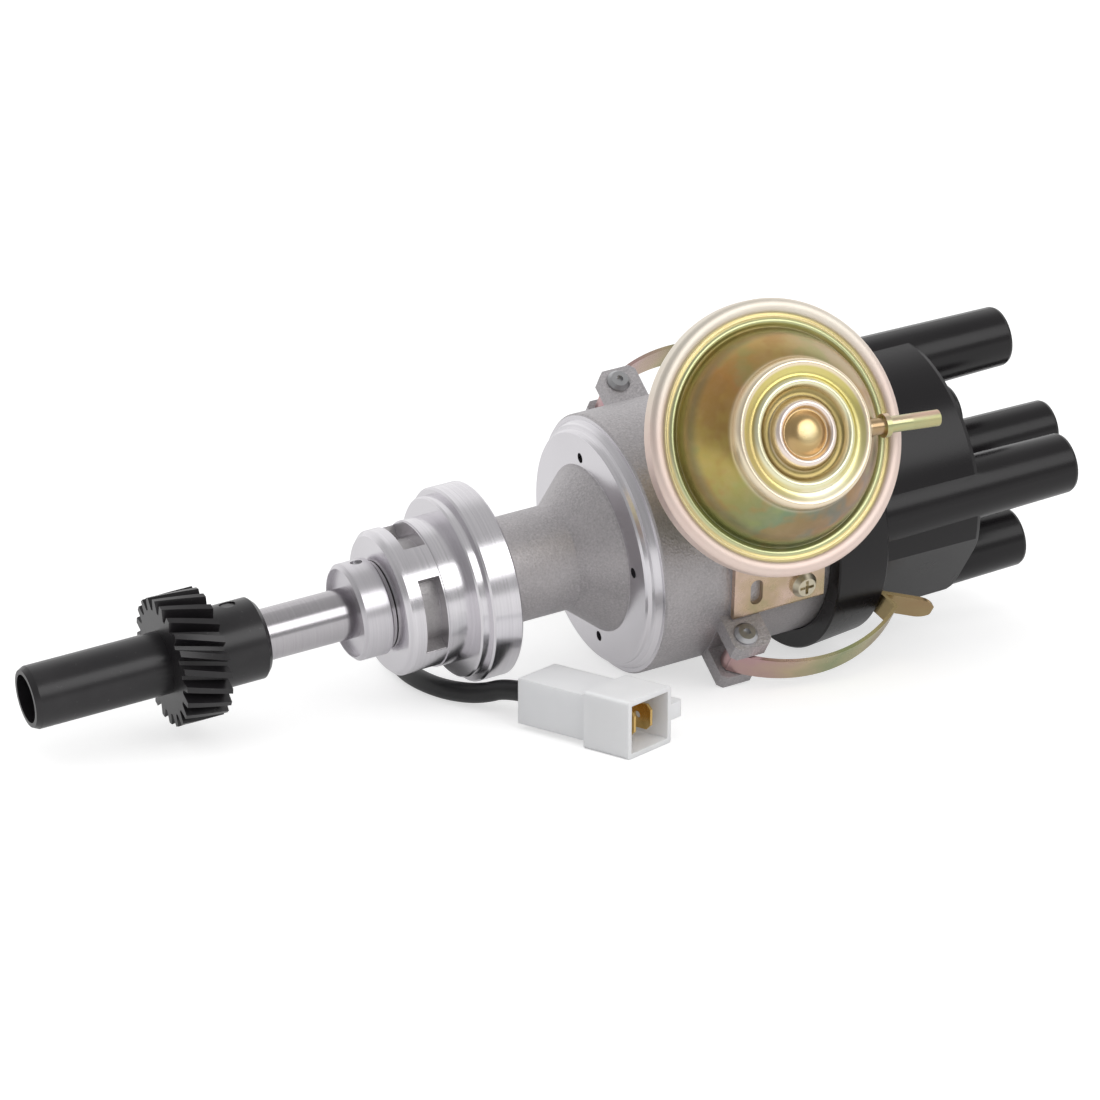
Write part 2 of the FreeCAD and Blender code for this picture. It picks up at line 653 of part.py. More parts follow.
def weight(turn):
    """Kidney-shaped centrifugal weight on its post, with a drive pin for the cam plate."""
    end = WEIGHT_START + WEIGHT_THICK
    arm = sector(WEIGHT_START, end, WEIGHT_INNER_R, WEIGHT_OUTER_R, WEIGHT_SPAN / 2)
    arm = clock(arm, -WEIGHT_SPAN / 2)
    boss = post(WEIGHT_START, end, 4.3, WEIGHT_PIVOT_RAD)
    toe = box(WEIGHT_START, end - 1.6, -2.2, 2.2, DRIVE_PIN_RAD, WEIGHT_PIVOT_RAD)
    nose = post(WEIGHT_START, end - 1.6, 2.2, DRIVE_PIN_RAD)
    pin = post(end - 2.0, CAM_PLATE_START + CAM_PLATE_THICK, DRIVE_PIN_R, DRIVE_PIN_RAD)
    hole = post(WEIGHT_START - 1, end + 1, WEIGHT_PIVOT_R + FIT, WEIGHT_PIVOT_RAD)
    return clock(fused([arm, boss, toe, nose, pin]).cut(hole), turn)


def cam_sleeve():
    """Sleeve that turns on the shaft spigot: cam plate below, flat for the rotor on top."""
    end = CAM_PLATE_START + CAM_PLATE_THICK
    pieces = [bar(CAM_PLATE_START, end, CAM_PLATE_R), bar(end - 0.5, CAM_SLEEVE_END, CAM_SLEEVE_R)]
    for turn in (0, 180):
        pieces.append(post(WEIGHT_START + 0.8, CAM_PLATE_START + 0.5, SPRING_POST_R,
                           SPRING_POST_RAD - 0.4, turn + SPRING_POST_ANGLE))
    body = fused(pieces)
    cuts = [bar(CAM_PLATE_START - 1, CAM_SLEEVE_END + 1, SPIGOT_R + FIT)]
    cuts.append(bar(SPIGOT_END - 2.6, CAM_SLEEVE_END + 1, SPIGOT_R + 1.2))
    slot_r = DRIVE_PIN_R + 0.12
    for turn in (0, 180):
        start = CAM_PLATE_START - 1
        near = DRIVE_PIN_RAD - 0.1
        far = DRIVE_PIN_RAD + 0.7
        slot = fused([post(start, end, slot_r, near), post(start, end, slot_r, far),
                      box(start, end, -slot_r, slot_r, near, far)])
        cuts.append(clock(slot, turn))
    cuts.append(box(CAM_SLEEVE_END - 5, CAM_SLEEVE_END + 1, -1.5, 1.5, 0, CAM_SLEEVE_R + 1))
    return body.cut(cuts)


def advance_springs():
    """Two return springs between the carrier and the cam plate."""
    pieces = []
    x = WEIGHT_START + 2.6
    for turn in (0, 180):
        inner = math.radians(turn + SPRING_POST_ANGLE)
        outer = math.radians(turn + SPRING_ANCHOR_ANGLE)
        a = V(x, SPRING_POST_RAD * math.sin(inner), SPRING_POST_RAD * math.cos(inner))
        b = V(x, SPRING_ANCHOR_RAD * math.sin(outer), SPRING_ANCHOR_RAD * math.cos(outer))
        way = (b - a).normalize()
        gap = SPRING_POST_R + SPRING_WIRE_R + 0.3
        pieces.append(spring(a + way * gap, b - way * gap, SPRING_COIL_R, SPRING_WIRE_R, 7))
    return group(pieces)


def circlip():
    """Retaining ring in the groove of the spigot, open on one side."""
    ring = tube(SPIGOT_END - 2.3, SPIGOT_END - 1.5, SPIGOT_R + 0.9, SPIGOT_R - 0.5)
    return ring.cut(box(SPIGOT_END - 3, SPIGOT_END, -2, 2, 0, SPIGOT_R + 3))


def base_plate():
    """Fixed plate on the bowl's ledge, with the bearing ring of the pickup plate."""
    end = BOWL_LEDGE + BASE_PLATE_THICK
    plate = tube(BOWL_LEDGE, end, BOWL_UPPER_R, BEARING_RING_BORE)
    ring = tube(end - 0.5, BEARING_RING_END, BEARING_RING_R, BEARING_RING_BORE)
    return fused([plate, ring])


def pickup_plate():
    """Moving plate on the bearing ring, with the pin that the pull rod hooks on."""
    end = PICKUP_PLATE_START + PICKUP_PLATE_THICK
    plate = tube(PICKUP_PLATE_START, end, PICKUP_PLATE_R, BEARING_RING_R + FIT)
    pin = Part.makeCylinder(EYE_PIN_R, 7.2, V(end - 0.5, VACUUM_OFFSET, ROD_EYE_H), AXIS_X)
    return fused([plate, clock(pin, VACUUM_ANGLE)])


def pickup_magnet():
    """Ring magnet on the pickup plate, open where the pull rod's pin passes."""
    start = PICKUP_PLATE_START + PICKUP_PLATE_THICK
    ring = tube(start, start + MAGNET_THICK, MAGNET_R, MAGNET_BORE)
    foot = V(start - 1, VACUUM_OFFSET, ROD_EYE_H)
    hole = Part.makeCylinder(EYE_PIN_R + 0.5, MAGNET_THICK + 2, foot, AXIS_X)
    return ring.cut(clock(hole, VACUUM_ANGLE))


def pickup_module():
    """Potted coil block on the magnet ring."""
    start = PICKUP_PLATE_START + PICKUP_PLATE_THICK + MAGNET_THICK
    body = box(start, start + MODULE_LENGTH, -MODULE_HALF, MODULE_HALF, RELUCTOR_TIP_R + 3.0, MODULE_R)
    body = body.makeFillet(1.2, edges_along(body, AXIS_X, lambda p: True))
    return clock(body.cut([pole_bar(), coil_block()]), MODULE_ANGLE)


def pole_bar():
    """Rectangular bar that the pole piece is cut from."""
    return box(RELUCTOR_START + 0.5, RELUCTOR_START + RELUCTOR_LENGTH - 0.5, -2.5, 2.5, 0, POLE_END)


def coil_block():
    return box(RELUCTOR_START - COIL_WALL, RELUCTOR_START + RELUCTOR_LENGTH + COIL_WALL,
               -2.5 - COIL_WALL, 2.5 + COIL_WALL, COIL_START, POLE_END)


def pickup_coil():
    """Winding round the pole piece, inside the moulded block."""
    return clock(coil_block().cut(pole_bar()), MODULE_ANGLE)


def pole_piece():
    """Steel pole that faces the reluctor's vanes across a small gap."""
    face = tube(RELUCTOR_START, RELUCTOR_START + RELUCTOR_LENGTH, POLE_END + 2, RELUCTOR_TIP_R + POLE_GAP)
    return clock(face.common(pole_bar()), MODULE_ANGLE)


def reluctor():
    """Four-vane trigger wheel pressed on the sleeve."""
    end = RELUCTOR_START + RELUCTOR_LENGTH
    hub = tube(RELUCTOR_START, end, RELUCTOR_HUB_R, CAM_SLEEVE_R)
    disc = bar(RELUCTOR_START, end, RELUCTOR_TIP_R)
    vane = box(RELUCTOR_START, end, -VANE_WIDTH / 2, VANE_WIDTH / 2, RELUCTOR_HUB_R - 1, RELUCTOR_TIP_R + 1)
    step = 360 / RELUCTOR_VANES
    vanes = [clock(vane, MODULE_ANGLE + k * step).common(disc) for k in range(RELUCTOR_VANES)]
    return fused([hub] + vanes)


def rotor():
    """Moulded rotor arm seated on the sleeve, its tip 45 degrees from a tower."""
    hub = turned([
        (ROTOR_START, CAM_SLEEVE_R), (ROTOR_START, ROTOR_HUB_R + 1.5), (ROTOR_ARM_START, ROTOR_HUB_R),
        (ROTOR_TOP, ROTOR_HUB_R - 1), (ROTOR_TOP, 0), (CAM_SLEEVE_END, 0), (CAM_SLEEVE_END, CAM_SLEEVE_R)])
    arm = box(ROTOR_ARM_START, ROTOR_ARM_END, -ROTOR_ARM_HALF, ROTOR_ARM_HALF, 0, ROTOR_REACH)
    arm = arm.makeFillet(3, edges_along(arm, AXIS_X, lambda p: p.z > ROTOR_REACH - 1))
    key = box(CAM_SLEEVE_END - 4.8, CAM_SLEEVE_END + 0.5, -1.4, 1.4, SPIGOT_R + 1.3, CAM_SLEEVE_R + 0.5)
    return clock(fused([hub, arm]).fuse(clock(key, -45)).removeSplitter(), 45)


def rotor_contact():
    """Brass strip from the centre button to the rotor's tip."""
    inner = ROTOR_HUB_R + 0.1
    outer = inner + CONTACT_THICK
    reach = TERMINAL_CIRCLE - TERMINAL_R - TERMINAL_GAP
    strip = box(ROTOR_TOP, ROTOR_TOP + CONTACT_THICK, -3.5, 3.5, -5, outer)
    drop = box(ROTOR_ARM_END, ROTOR_TOP + CONTACT_THICK, -3.5, 3.5, inner, outer)
    blade = box(ROTOR_ARM_END, ROTOR_ARM_END + CONTACT_THICK, -3.5, 3.5, inner, reach)
    return clock(fused([strip, blade]).fuse(drop).removeSplitter(), 45)


def felt_wick():
    return bar(SPIGOT_END, CAM_SLEEVE_END - 0.5, SPIGOT_R + 1.2)


def front_shell():
    """Pressed front dish of the vacuum unit, its rim rolled over the rear flange."""
    flange = -2.55
    lip = flange - 0.85
    rim = [(RIM_R - 2.4, flange), (RIM_R - 2.4, lip), (RIM_R - 0.6, lip), (RIM_R, flange - 0.35)]
    dish = [
        (RIM_R, 0.3), (RIM_R - 0.4, 1.7), (RIM_R - 3.6, 1.8), (RIM_R - 4.2, -0.5), (RIM_R - 4.8, 1.4),
        (RIM_R - 6.3, 1.3), (RIM_R - 7.0, -0.2), (25.9, 2.0), (24.6, 5.6), (22.2, 9.2), (19.9, 11.6),
        (18.7, 12.4), (18.2, 12.6), (17.9, 15.4), (16.8, 16.2), (15.4, 15.2), (13.6, 14.7), (12.9, 16.0),
        (11.5, 15.9), (11.0, 14.2), (9.4, 14.0), (8.6, 14.3), (8.0, 16.6), (6.4, 16.8), (6.0, 15.2),
        (5.0, 15.6), (3.6, 17.2), (1.8, DISH_TOP), (0, DISH_TOP)]
    start = (RIM_R - 0.6 * SHEET, flange)
    under = [(RIM_R - 0.6 * SHEET, 0)]
    for (r0, z0), (r, z), (r1, z1) in zip(dish, dish[1:], dish[2:]):
        run = math.hypot(r1 - r0, z1 - z0)
        under.append((r - SHEET * (z1 - z0) / run, z + SHEET * (r1 - r0) / run))
    under.append((0, under[-1][1]))
    edges = [smooth_curve(dish), smooth_curve(under)]
    edges += straight_edges([under[0], start] + rim + [dish[0]]) + straight_edges([dish[-1], under[-1]])
    profile = Part.Wire(Part.sortEdges(edges)[0])
    shell = Part.Face(profile).revolve(CENTRE, AXIS_Z, 360)
    shell.translate(V(0, 0, RIM_H))
    bore = nipple_bar(NIPPLE_R, -2, 6)
    return vacuum_frame(shell.cut(bore))


def nipple_bar(r, start, end):
    """Round bar along the nipple, which leans a little from the shaft's direction."""
    bar_x = Part.makeCylinder(r, end - start, V(start, 0, 0), AXIS_X)
    bar_x.rotate(CENTRE, AXIS_Z, -NIPPLE_TILT)
    bar_x.translate(V(NIPPLE_START, NIPPLE_SIDE, RIM_H + NIPPLE_H))
    return bar_x


def nipple():
    """Vacuum hose nipple pressed into the side of the dish."""
    body = nipple_bar(NIPPLE_R, -2, NIPPLE_LENGTH)
    collar = nipple_bar(NIPPLE_R + 0.9, NIPPLE_COLLAR_START, NIPPLE_COLLAR_END)
    bore = nipple_bar(NIPPLE_R - 0.7, -3, NIPPLE_LENGTH + 1)
    return vacuum_frame(body.fuse(collar).cut(bore).removeSplitter())


def rear_shell():
    """Back half of the vacuum unit, its flange held in the front shell's rim."""
    back = REAR_BACK_H
    low = RIM_H - 2.55
    shell = turned_z([
        (ROD_HOLE_R, back), (REAR_BACK_R, back), (REAR_CUP_R, back + 4), (REAR_CUP_R + 0.6, low),
        (RIM_R - SHEET, low), (RIM_R - SHEET, low + SHEET), (REAR_CUP_R - 0.4, low + SHEET),
        (REAR_CUP_R - 1.0, back + 4.4), (REAR_BACK_R - 0.4, back + SHEET), (ROD_HOLE_R, back + SHEET)])
    holes = [Part.makeCylinder(RIVET_R, 4, V(x, y, back - 1), AXIS_Z) for x, y in RIVETS]
    return vacuum_frame(shell.cut(holes))


def bracket_rivets():
    """Two rivets through the back of the vacuum unit and the bracket."""
    low = REAR_BACK_H - BRACKET_THICK
    high = REAR_BACK_H + SHEET
    pieces = []
    for x, y in RIVETS:
        rivet = turned_z([
            (0, low - RIVET_HEAD_H), (0.6 * RIVET_HEAD_R, low - RIVET_HEAD_H),
            (RIVET_HEAD_R, low - 0.4), (RIVET_HEAD_R, low), (RIVET_R, low), (RIVET_R, high),
            (RIVET_HEAD_R, high), (RIVET_HEAD_R, high + 0.4), (0.6 * RIVET_HEAD_R, high + RIVET_HEAD_H),
            (0, high + RIVET_HEAD_H)])
        rivet.translate(V(x, y, 0))
        pieces.append(rivet)
    return vacuum_frame(group(pieces))


def diaphragm():
    """Rubber diaphragm clamped between the shells, dished towards the bowl at rest."""
    top = RIM_H - 0.95
    skin = turned_z([
        (3, RIM_H - 6.0), (14, RIM_H - 6.0), (22, RIM_H - 3.0), (RIM_R - 7.5, top - 0.6),
        (RIM_R - 1.2, top - 0.6), (RIM_R - 1.2, top), (RIM_R - 7.8, top), (21.6, RIM_H - 2.2),
        (13.6, RIM_H - 5.2), (3, RIM_H - 5.2)])
    return vacuum_frame(skin)


def pull_rod():
    """Flat pull rod with its eye at the pickup plate and its plate on the diaphragm."""
    top = RIM_H - 6.3
    half = ROD_THICK / 2
    strip = box(-half, half, -ROD_WIDTH / 2, ROD_WIDTH / 2, ROD_EYE_H, top)
    eye = Part.makeCylinder(ROD_WIDTH / 2, ROD_THICK, V(-half, 0, ROD_EYE_H), AXIS_X)
    hole = Part.makeCylinder(EYE_PIN_R + 0.1, ROD_THICK + 2, V(-half - 1, 0, ROD_EYE_H), AXIS_X)
    plate = Part.makeCylinder(13.0, 1.0, V(0, 0, top - 1.0), AXIS_Z)
    return vacuum_frame(fused([strip, eye, plate]).cut(hole))


def diaphragm_spring():
    """Return spring between the diaphragm and the front dish."""
    start = V(0, 0, RIM_H - 4.4)
    end = V(0, 0, RIM_H + DISH_TOP - 5.0)
    return vacuum_frame(spring(start, end, 6.5, 0.7, 5))


def bracket():
    """Bent strap from the pad on the bowl up to the back of the vacuum unit."""
    lean = math.radians(PAD_ANGLE - VACUUM_ANGLE)
    mid = PAD_RAD + BRACKET_THICK / 2
    rise_h = REAR_BACK_H - BRACKET_THICK / 2

    def place(u, d):
        return V(0, u * math.cos(lean) + d * math.sin(lean), d * math.cos(lean) - u * math.sin(lean))

    foot = place(-PAD_HALF + 0.3, mid)
    corner_u = (mid * math.cos(lean) - rise_h) / math.sin(lean)
    corner = place(corner_u, mid)
    top = V(0, BRACKET_RISE, rise_h)
    path = Part.Wire([Part.makeLine(foot, corner), Part.makeLine(corner, top)])
    strip = path.makeOffset2D(BRACKET_THICK / 2, 2, True, False, False)
    if not strip.Faces:
        strip = Part.Face(strip)
    strip.translate(V(BRACKET_START, 0, 0))
    body = clock(strip.extrude(V(BRACKET_END - BRACKET_START, 0, 0)), VACUUM_ANGLE)
    low = PAD_RAD - 8
    high = PAD_RAD + 16
    slot_near = SLOT_U - SLOT_HALF_LENGTH + SLOT_R
    slot_far = SLOT_U + SLOT_HALF_LENGTH - SLOT_R
    slot = fused([spoke(SLOT_X, SLOT_R, low, high, slot_near), spoke(SLOT_X, SLOT_R, low, high, slot_far),
                  box(SLOT_X - SLOT_R, SLOT_X + SLOT_R, slot_near, slot_far, low, high)])
    rod_hole = Part.makeCylinder(ROD_HOLE_R, 10, V(0, 0, REAR_BACK_H - 5), AXIS_Z)
    cuts = [clock(slot, PAD_ANGLE), clock(spoke(SCREW_X, SCREW_R + 0.2, low, high, SCREW_U), PAD_ANGLE),
            vacuum_frame(rod_hole)]
    cuts += [vacuum_frame(Part.makeCylinder(RIVET_R, 6, V(x, y, REAR_BACK_H - 4), AXIS_Z)) for x, y in RIVETS]
    return body.cut(cuts)


def screw(x, u, seat, length):
    """Cross-recessed pan-head screw, its head's underside at the seat radius."""
    head = turned_z([(0, 0), (SCREW_HEAD_R, 0), (SCREW_HEAD_R, 0.9), (0.72 * SCREW_HEAD_R, SCREW_HEAD_H),
                     (0, SCREW_HEAD_H)])
    cross = [box(-1.9, 1.9, -0.4, 0.4, 1.0, 3), box(-0.4, 0.4, -1.9, 1.9, 1.0, 3)]
    shank = Part.makeCylinder(SCREW_R, length, V(0, 0, -length), AXIS_Z)
    body = head.cut(cross).fuse(shank)
    body.translate(V(x, u, seat))
    return body


def bracket_screw():
    return clock(screw(SCREW_X, SCREW_U, PAD_RAD + BRACKET_THICK, BRACKET_THICK + 5.0), PAD_ANGLE)


def grommet():
    """Rubber grommet in the bowl's wall, with a tapered collar for the cable."""
    body = turned_z([
        (CABLE_R, BOWL_INNER_R - 0.2), (GROMMET_R - 1.2, BOWL_INNER_R - 0.2),
        (GROMMET_R - 1.2, BOWL_R + 1.2), (GROMMET_R + 1.0, BOWL_R + 1.2), (GROMMET_R + 1.0, BOWL_R + 2.6),
        (CABLE_R + 1.2, BOWL_R + GROMMET_OUT), (CABLE_R, BOWL_R + GROMMET_OUT)])
    body.translate(V(GROMMET_X, 0, 0))
    return clock(body, GROMMET_ANGLE)


def pitched(shape):
    """Turn a shape from the shaft's frame to the lie on the table."""
    shape = shape.copy()
    shape.rotate(CENTRE, V(0, 1, 0), -PITCH)
    return shape


def on_table(shape):
    """Place a shape drawn along X at the connector's spot on the table."""
    shape = shape.copy()
    shape.rotate(CENTRE, AXIS_Z, CONNECTOR_HEADING)
    shape.translate(V(CONNECTOR_BACK[0], CONNECTOR_BACK[1], TABLE_Z + CONNECTOR_HEIGHT / 2))
    return shape


def connector():
    """Nylon two-way connector: slimmer rear body, open mouth and a latch tab on its side."""
    rear = CONNECTOR_REAR_LENGTH
    end = CONNECTOR_LENGTH
    half_w = CONNECTOR_WIDTH / 2
    half_h = CONNECTOR_HEIGHT / 2
    rear_w = CONNECTOR_REAR_WIDTH / 2
    rear_h = CONNECTOR_REAR_HEIGHT / 2
    back = box(0, rear + 1, -rear_w, rear_w, -rear_h, rear_h)
    front = box(rear, end, -half_w, half_w, -half_h, half_h)
    front = front.makeFillet(0.8, edges_along(front, AXIS_X, lambda p: True))
    tab = box(end - 4.6, end - 0.6, half_w - 0.5, half_w + CONNECTOR_LATCH, -2.0, 2.0)
    tab = tab.makeFillet(1.2, edges_along(tab, AXIS_Z, lambda p: p.y > half_w + 1))
    body = fused([back, front, tab])
    wall = CONNECTOR_WALL
    mouth = box(rear + 1, end + 1, -half_w + wall, half_w - wall, -half_h + wall, half_h - wall)
    cuts = [mouth, bar(-1, rear / 2, CABLE_R)]
    for side in (-1, 1):
        y = side * BLADE_PITCH / 2
        cuts.append(box(rear - 6, rear + 2, y - BLADE_THICK / 2, y + BLADE_THICK / 2,
                        -BLADE_WIDTH / 2, BLADE_WIDTH / 2))
    return on_table(body.cut(cuts).removeSplitter())


def connector_blades():
    """Two upright brass blades with their detent holes."""
    pieces = []
    start = CONNECTOR_REAR_LENGTH - 6
    tip = CONNECTOR_LENGTH - 2.0
    half = BLADE_WIDTH / 2
    for side in (-1, 1):
        y = side * BLADE_PITCH / 2
        blade = box(start, tip, y - BLADE_THICK / 2, y + BLADE_THICK / 2, -half, half)
        corners = edges_along(blade, V(0, 1, 0), lambda p: p.x > tip - 0.1)
        blade = blade.makeChamfer(1.2, corners)
        pieces.append(blade.cut(cross_bar(tip - 4.0, 0, 0.9, y - 1, y + 1)))
    return on_table(group(pieces))


def cable_points():
    """Route of the cable on the table, under the shank and up to the grommet."""
    lie = TABLE_Z + CABLE_R
    return [
        V(4.5, -13, lie + 1.2), V(-0.5, -3, lie), V(-3.2, 8.5, lie), V(-2.5, 20.5, lie),
        V(1.5, 32.5, lie), V(9, 43, lie), V(20, 51.5, lie), V(33.5, 57, lie + 0.6),
        V(47.5, 60.5, lie + 5), V(60, 60.5, lie + 12), V(69, 55, lie + 20.5)]


def cable():
    """Round cable from inside the connector's back to the inside of the bowl."""
    entry = pitched(clock(Part.Vertex(GROMMET_X, 0, BOWL_INNER_R + 0.5), GROMMET_ANGLE)).Point
    mouth = pitched(clock(Part.Vertex(GROMMET_X, 0, BOWL_R + GROMMET_OUT + 7), GROMMET_ANGLE)).Point
    heading = math.radians(CONNECTOR_HEADING)
    way = V(math.cos(heading), math.sin(heading), 0)
    back = V(CONNECTOR_BACK[0], CONNECTOR_BACK[1], TABLE_Z + CONNECTOR_HEIGHT / 2)
    plug_end = back + way * (CONNECTOR_REAR_LENGTH / 2)
    exit_point = back - way * CONNECTOR_EXIT
    path = smooth_path([plug_end, exit_point] + cable_points() + [mouth, entry])
    start = path.Edges[0].Vertexes[0].Point
    section = Part.Wire(Part.makeCircle(CABLE_R, start, way))
    body = path.makePipeShell([section], True, False)
    expected = math.pi * CABLE_R ** 2 * path.Length
    print("cable length", round(path.Length, 1), "volume share", round(body.Volume / expected, 4))
    return body


def save(name, shape):
    shape.exportStep("parts/" + name + ".step")


def main():
    os.makedirs("parts", exist_ok=True)
    parts = {
        "housing": housing(), "lower_bush": bush(SHANK_START), "upper_bush": bush(UPPER_BUSH_START),
        "shaft": shaft(), "drive_gear": drive_gear(), "gear_pin": gear_pin(),
        "thrust_collar": thrust_collar(), "collar_pin": collar_pin(), "thrust_washer": thrust_washer(),
        "weight_carrier": weight_carrier(), "weight_a": weight(0), "weight_b": weight(180),
        "advance_springs": advance_springs(), "cam_sleeve": cam_sleeve(), "circlip": circlip(),
        "felt_wick": felt_wick(), "base_plate": base_plate(), "pickup_plate": pickup_plate(),
        "pickup_module": pickup_module(), "pole_piece": pole_piece(), "reluctor": reluctor(),
        "rotor": rotor(), "rotor_contact": rotor_contact(), "cap": cap(), "cap_terminals": cap_terminals(),
        "carbon_brush": carbon_brush(), "brush_spring": brush_spring(), "front_shell": front_shell(),
        "rear_shell": rear_shell(), "nipple": nipple(), "diaphragm": diaphragm(),
        "diaphragm_spring": diaphragm_spring(), "pull_rod": pull_rod(), "vacuum_bracket": bracket(),
        "bracket_screw": bracket_screw(), "bracket_rivets": bracket_rivets(), "grommet": grommet(),
        "pickup_coil": pickup_coil(), "pickup_magnet": pickup_magnet()}
    for place, angle in CLIP_ANGLES.items():
        parts[place + "_clip_pin"] = clip_pin(angle)
        parts[place + "_bail"] = bail(angle)
    for name, shape in parts.items():
        save(name, pitched(shape))
    save("connector", connector())
    save("connector_blades", connector_blades())
    save("cable", cable())


main()
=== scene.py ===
import json
import math

import bmesh
import bpy
from mathutils import Matrix, Vector


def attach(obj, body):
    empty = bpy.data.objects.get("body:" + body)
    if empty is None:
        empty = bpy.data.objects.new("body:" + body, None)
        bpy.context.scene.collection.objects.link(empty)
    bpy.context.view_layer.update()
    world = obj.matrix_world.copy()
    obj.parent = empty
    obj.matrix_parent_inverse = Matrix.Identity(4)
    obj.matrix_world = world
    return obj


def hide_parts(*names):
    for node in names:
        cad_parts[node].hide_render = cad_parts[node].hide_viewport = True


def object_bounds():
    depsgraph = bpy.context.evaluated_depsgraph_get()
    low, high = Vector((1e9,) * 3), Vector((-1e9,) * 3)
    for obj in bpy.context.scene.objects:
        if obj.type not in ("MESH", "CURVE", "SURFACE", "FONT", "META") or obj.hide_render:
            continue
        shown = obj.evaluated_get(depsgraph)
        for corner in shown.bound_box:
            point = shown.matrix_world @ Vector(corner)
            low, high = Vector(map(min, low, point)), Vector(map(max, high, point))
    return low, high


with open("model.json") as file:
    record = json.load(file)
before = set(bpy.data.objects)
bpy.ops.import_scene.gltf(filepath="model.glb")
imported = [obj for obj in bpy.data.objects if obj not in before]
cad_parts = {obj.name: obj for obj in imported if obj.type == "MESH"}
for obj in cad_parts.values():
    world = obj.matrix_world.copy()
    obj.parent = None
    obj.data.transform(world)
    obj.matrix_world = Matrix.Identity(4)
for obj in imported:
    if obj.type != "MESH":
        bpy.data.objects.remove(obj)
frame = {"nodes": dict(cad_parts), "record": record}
cad_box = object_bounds()
nodes = frame["nodes"]

MM = 0.001
WHITE = (1, 1, 1, 1)

# Shaft and vacuum unit, as the solids have them: x along the shaft, y and z across it, in millimetres
PITCH = math.radians(6.59)
CANISTER_ANGLE = math.radians(-72.1)
CANISTER_AXIS = (71.7, 17.5)

# Turned surfaces of the housing: where each starts and ends, and where its edge fades, in millimetres
SHANK_TURNED_END = (10.4, 10.75)
BOWL_FACE = (40.9, 44.6)
BOWL_FACE_INNER = (21.2, 21.6)
BOWL_FACE_FADE = 0.1
BOWL_RIM = (95.6, 95.9)
WINDOW = (-12.25, -6.65)
WINDOW_DEPTH = (17.9, 18.1)
WINDOW_FADE = 0.05

# Colour zones of the pressed dish, by distance from its axis in millimetres
RIM_R = 33.4
CREST_EDGE = (12.9, 13.6)
LIP_EDGE = (15.7, 16.4)
WALL_EDGE = (17.4, 19.0)
FILLET_EDGE = (23.6, 25.0)
BAND_EDGE = (26.2, 27.2)
SEAM_EDGE = (28.2, 29.0)
BEAD_EDGE = (29.4, 30.2)
# Band across the axis where the bead's upper side gets a painted highlight
BEAD_HIGHLIGHT_SIDE = (4.0, 24.0)
TUBE_EDGE = (21.6, 22.2)
TUBE_HEIGHT = (62.0, 70.0)
TUBE_FADE = 0.5
BAIL_SPAN = (62.0, 118.0)

# Light: the plain light rises with height from LOW to HIGH, and ROOM is what metal mirrors, back to front
PLAIN_FROM = -0.2
PLAIN_TO = 0.9
PLAIN_LOW = 0.5
PLAIN_HIGH = 1.05
SEEN_GLOW = 0.6
MIRRORED_GLOW = 0.3
ROOM = ((0.0, 1.0), (0.25, 0.9), (0.45, 0.55), (0.75, 0.5), (1.0, 0.36))
LIGHT_AIM = (0.04, 0, 0.01)
FRONT_DIRECTION = (0.31, -0.76, 0.57)
FRONT_DISTANCE = 1.0
FRONT_WIDTH = 0.7
FRONT_HEIGHT = 0.6
FRONT_RADIANCE = 2.0
FLOOR_Z = cad_box[0][2]
FLOOR_HALF = 6.0
FLOOR_GREY = (0.55, 0.55, 0.55)

# Camera: its place in millimetres, its three directions, and its focal length in pixels of the frame
CAMERA_PLACE = (-401.4, -873.3, 303.1)
CAMERA_RIGHT = (0.8967, -0.4425, 0)
CAMERA_UP = (0.1294, 0.2618, 0.956)
CAMERA_BACK = (-0.4233, -0.8572, 0.292)
FOCAL_PIXELS = 4121.357
FRAME_PIXELS = 1100
SENSOR_WIDTH = 36
CLIP_END = 50


# Node helpers

def fill_ramp(elements, stops):
    """Gives a colour ramp its stops, as pairs of place and colour."""
    while len(elements) < len(stops):
        elements.new(0.5)
    for element, (at, colour) in zip(elements, stops):
        element.position = at
        element.color = (*colour, 1)


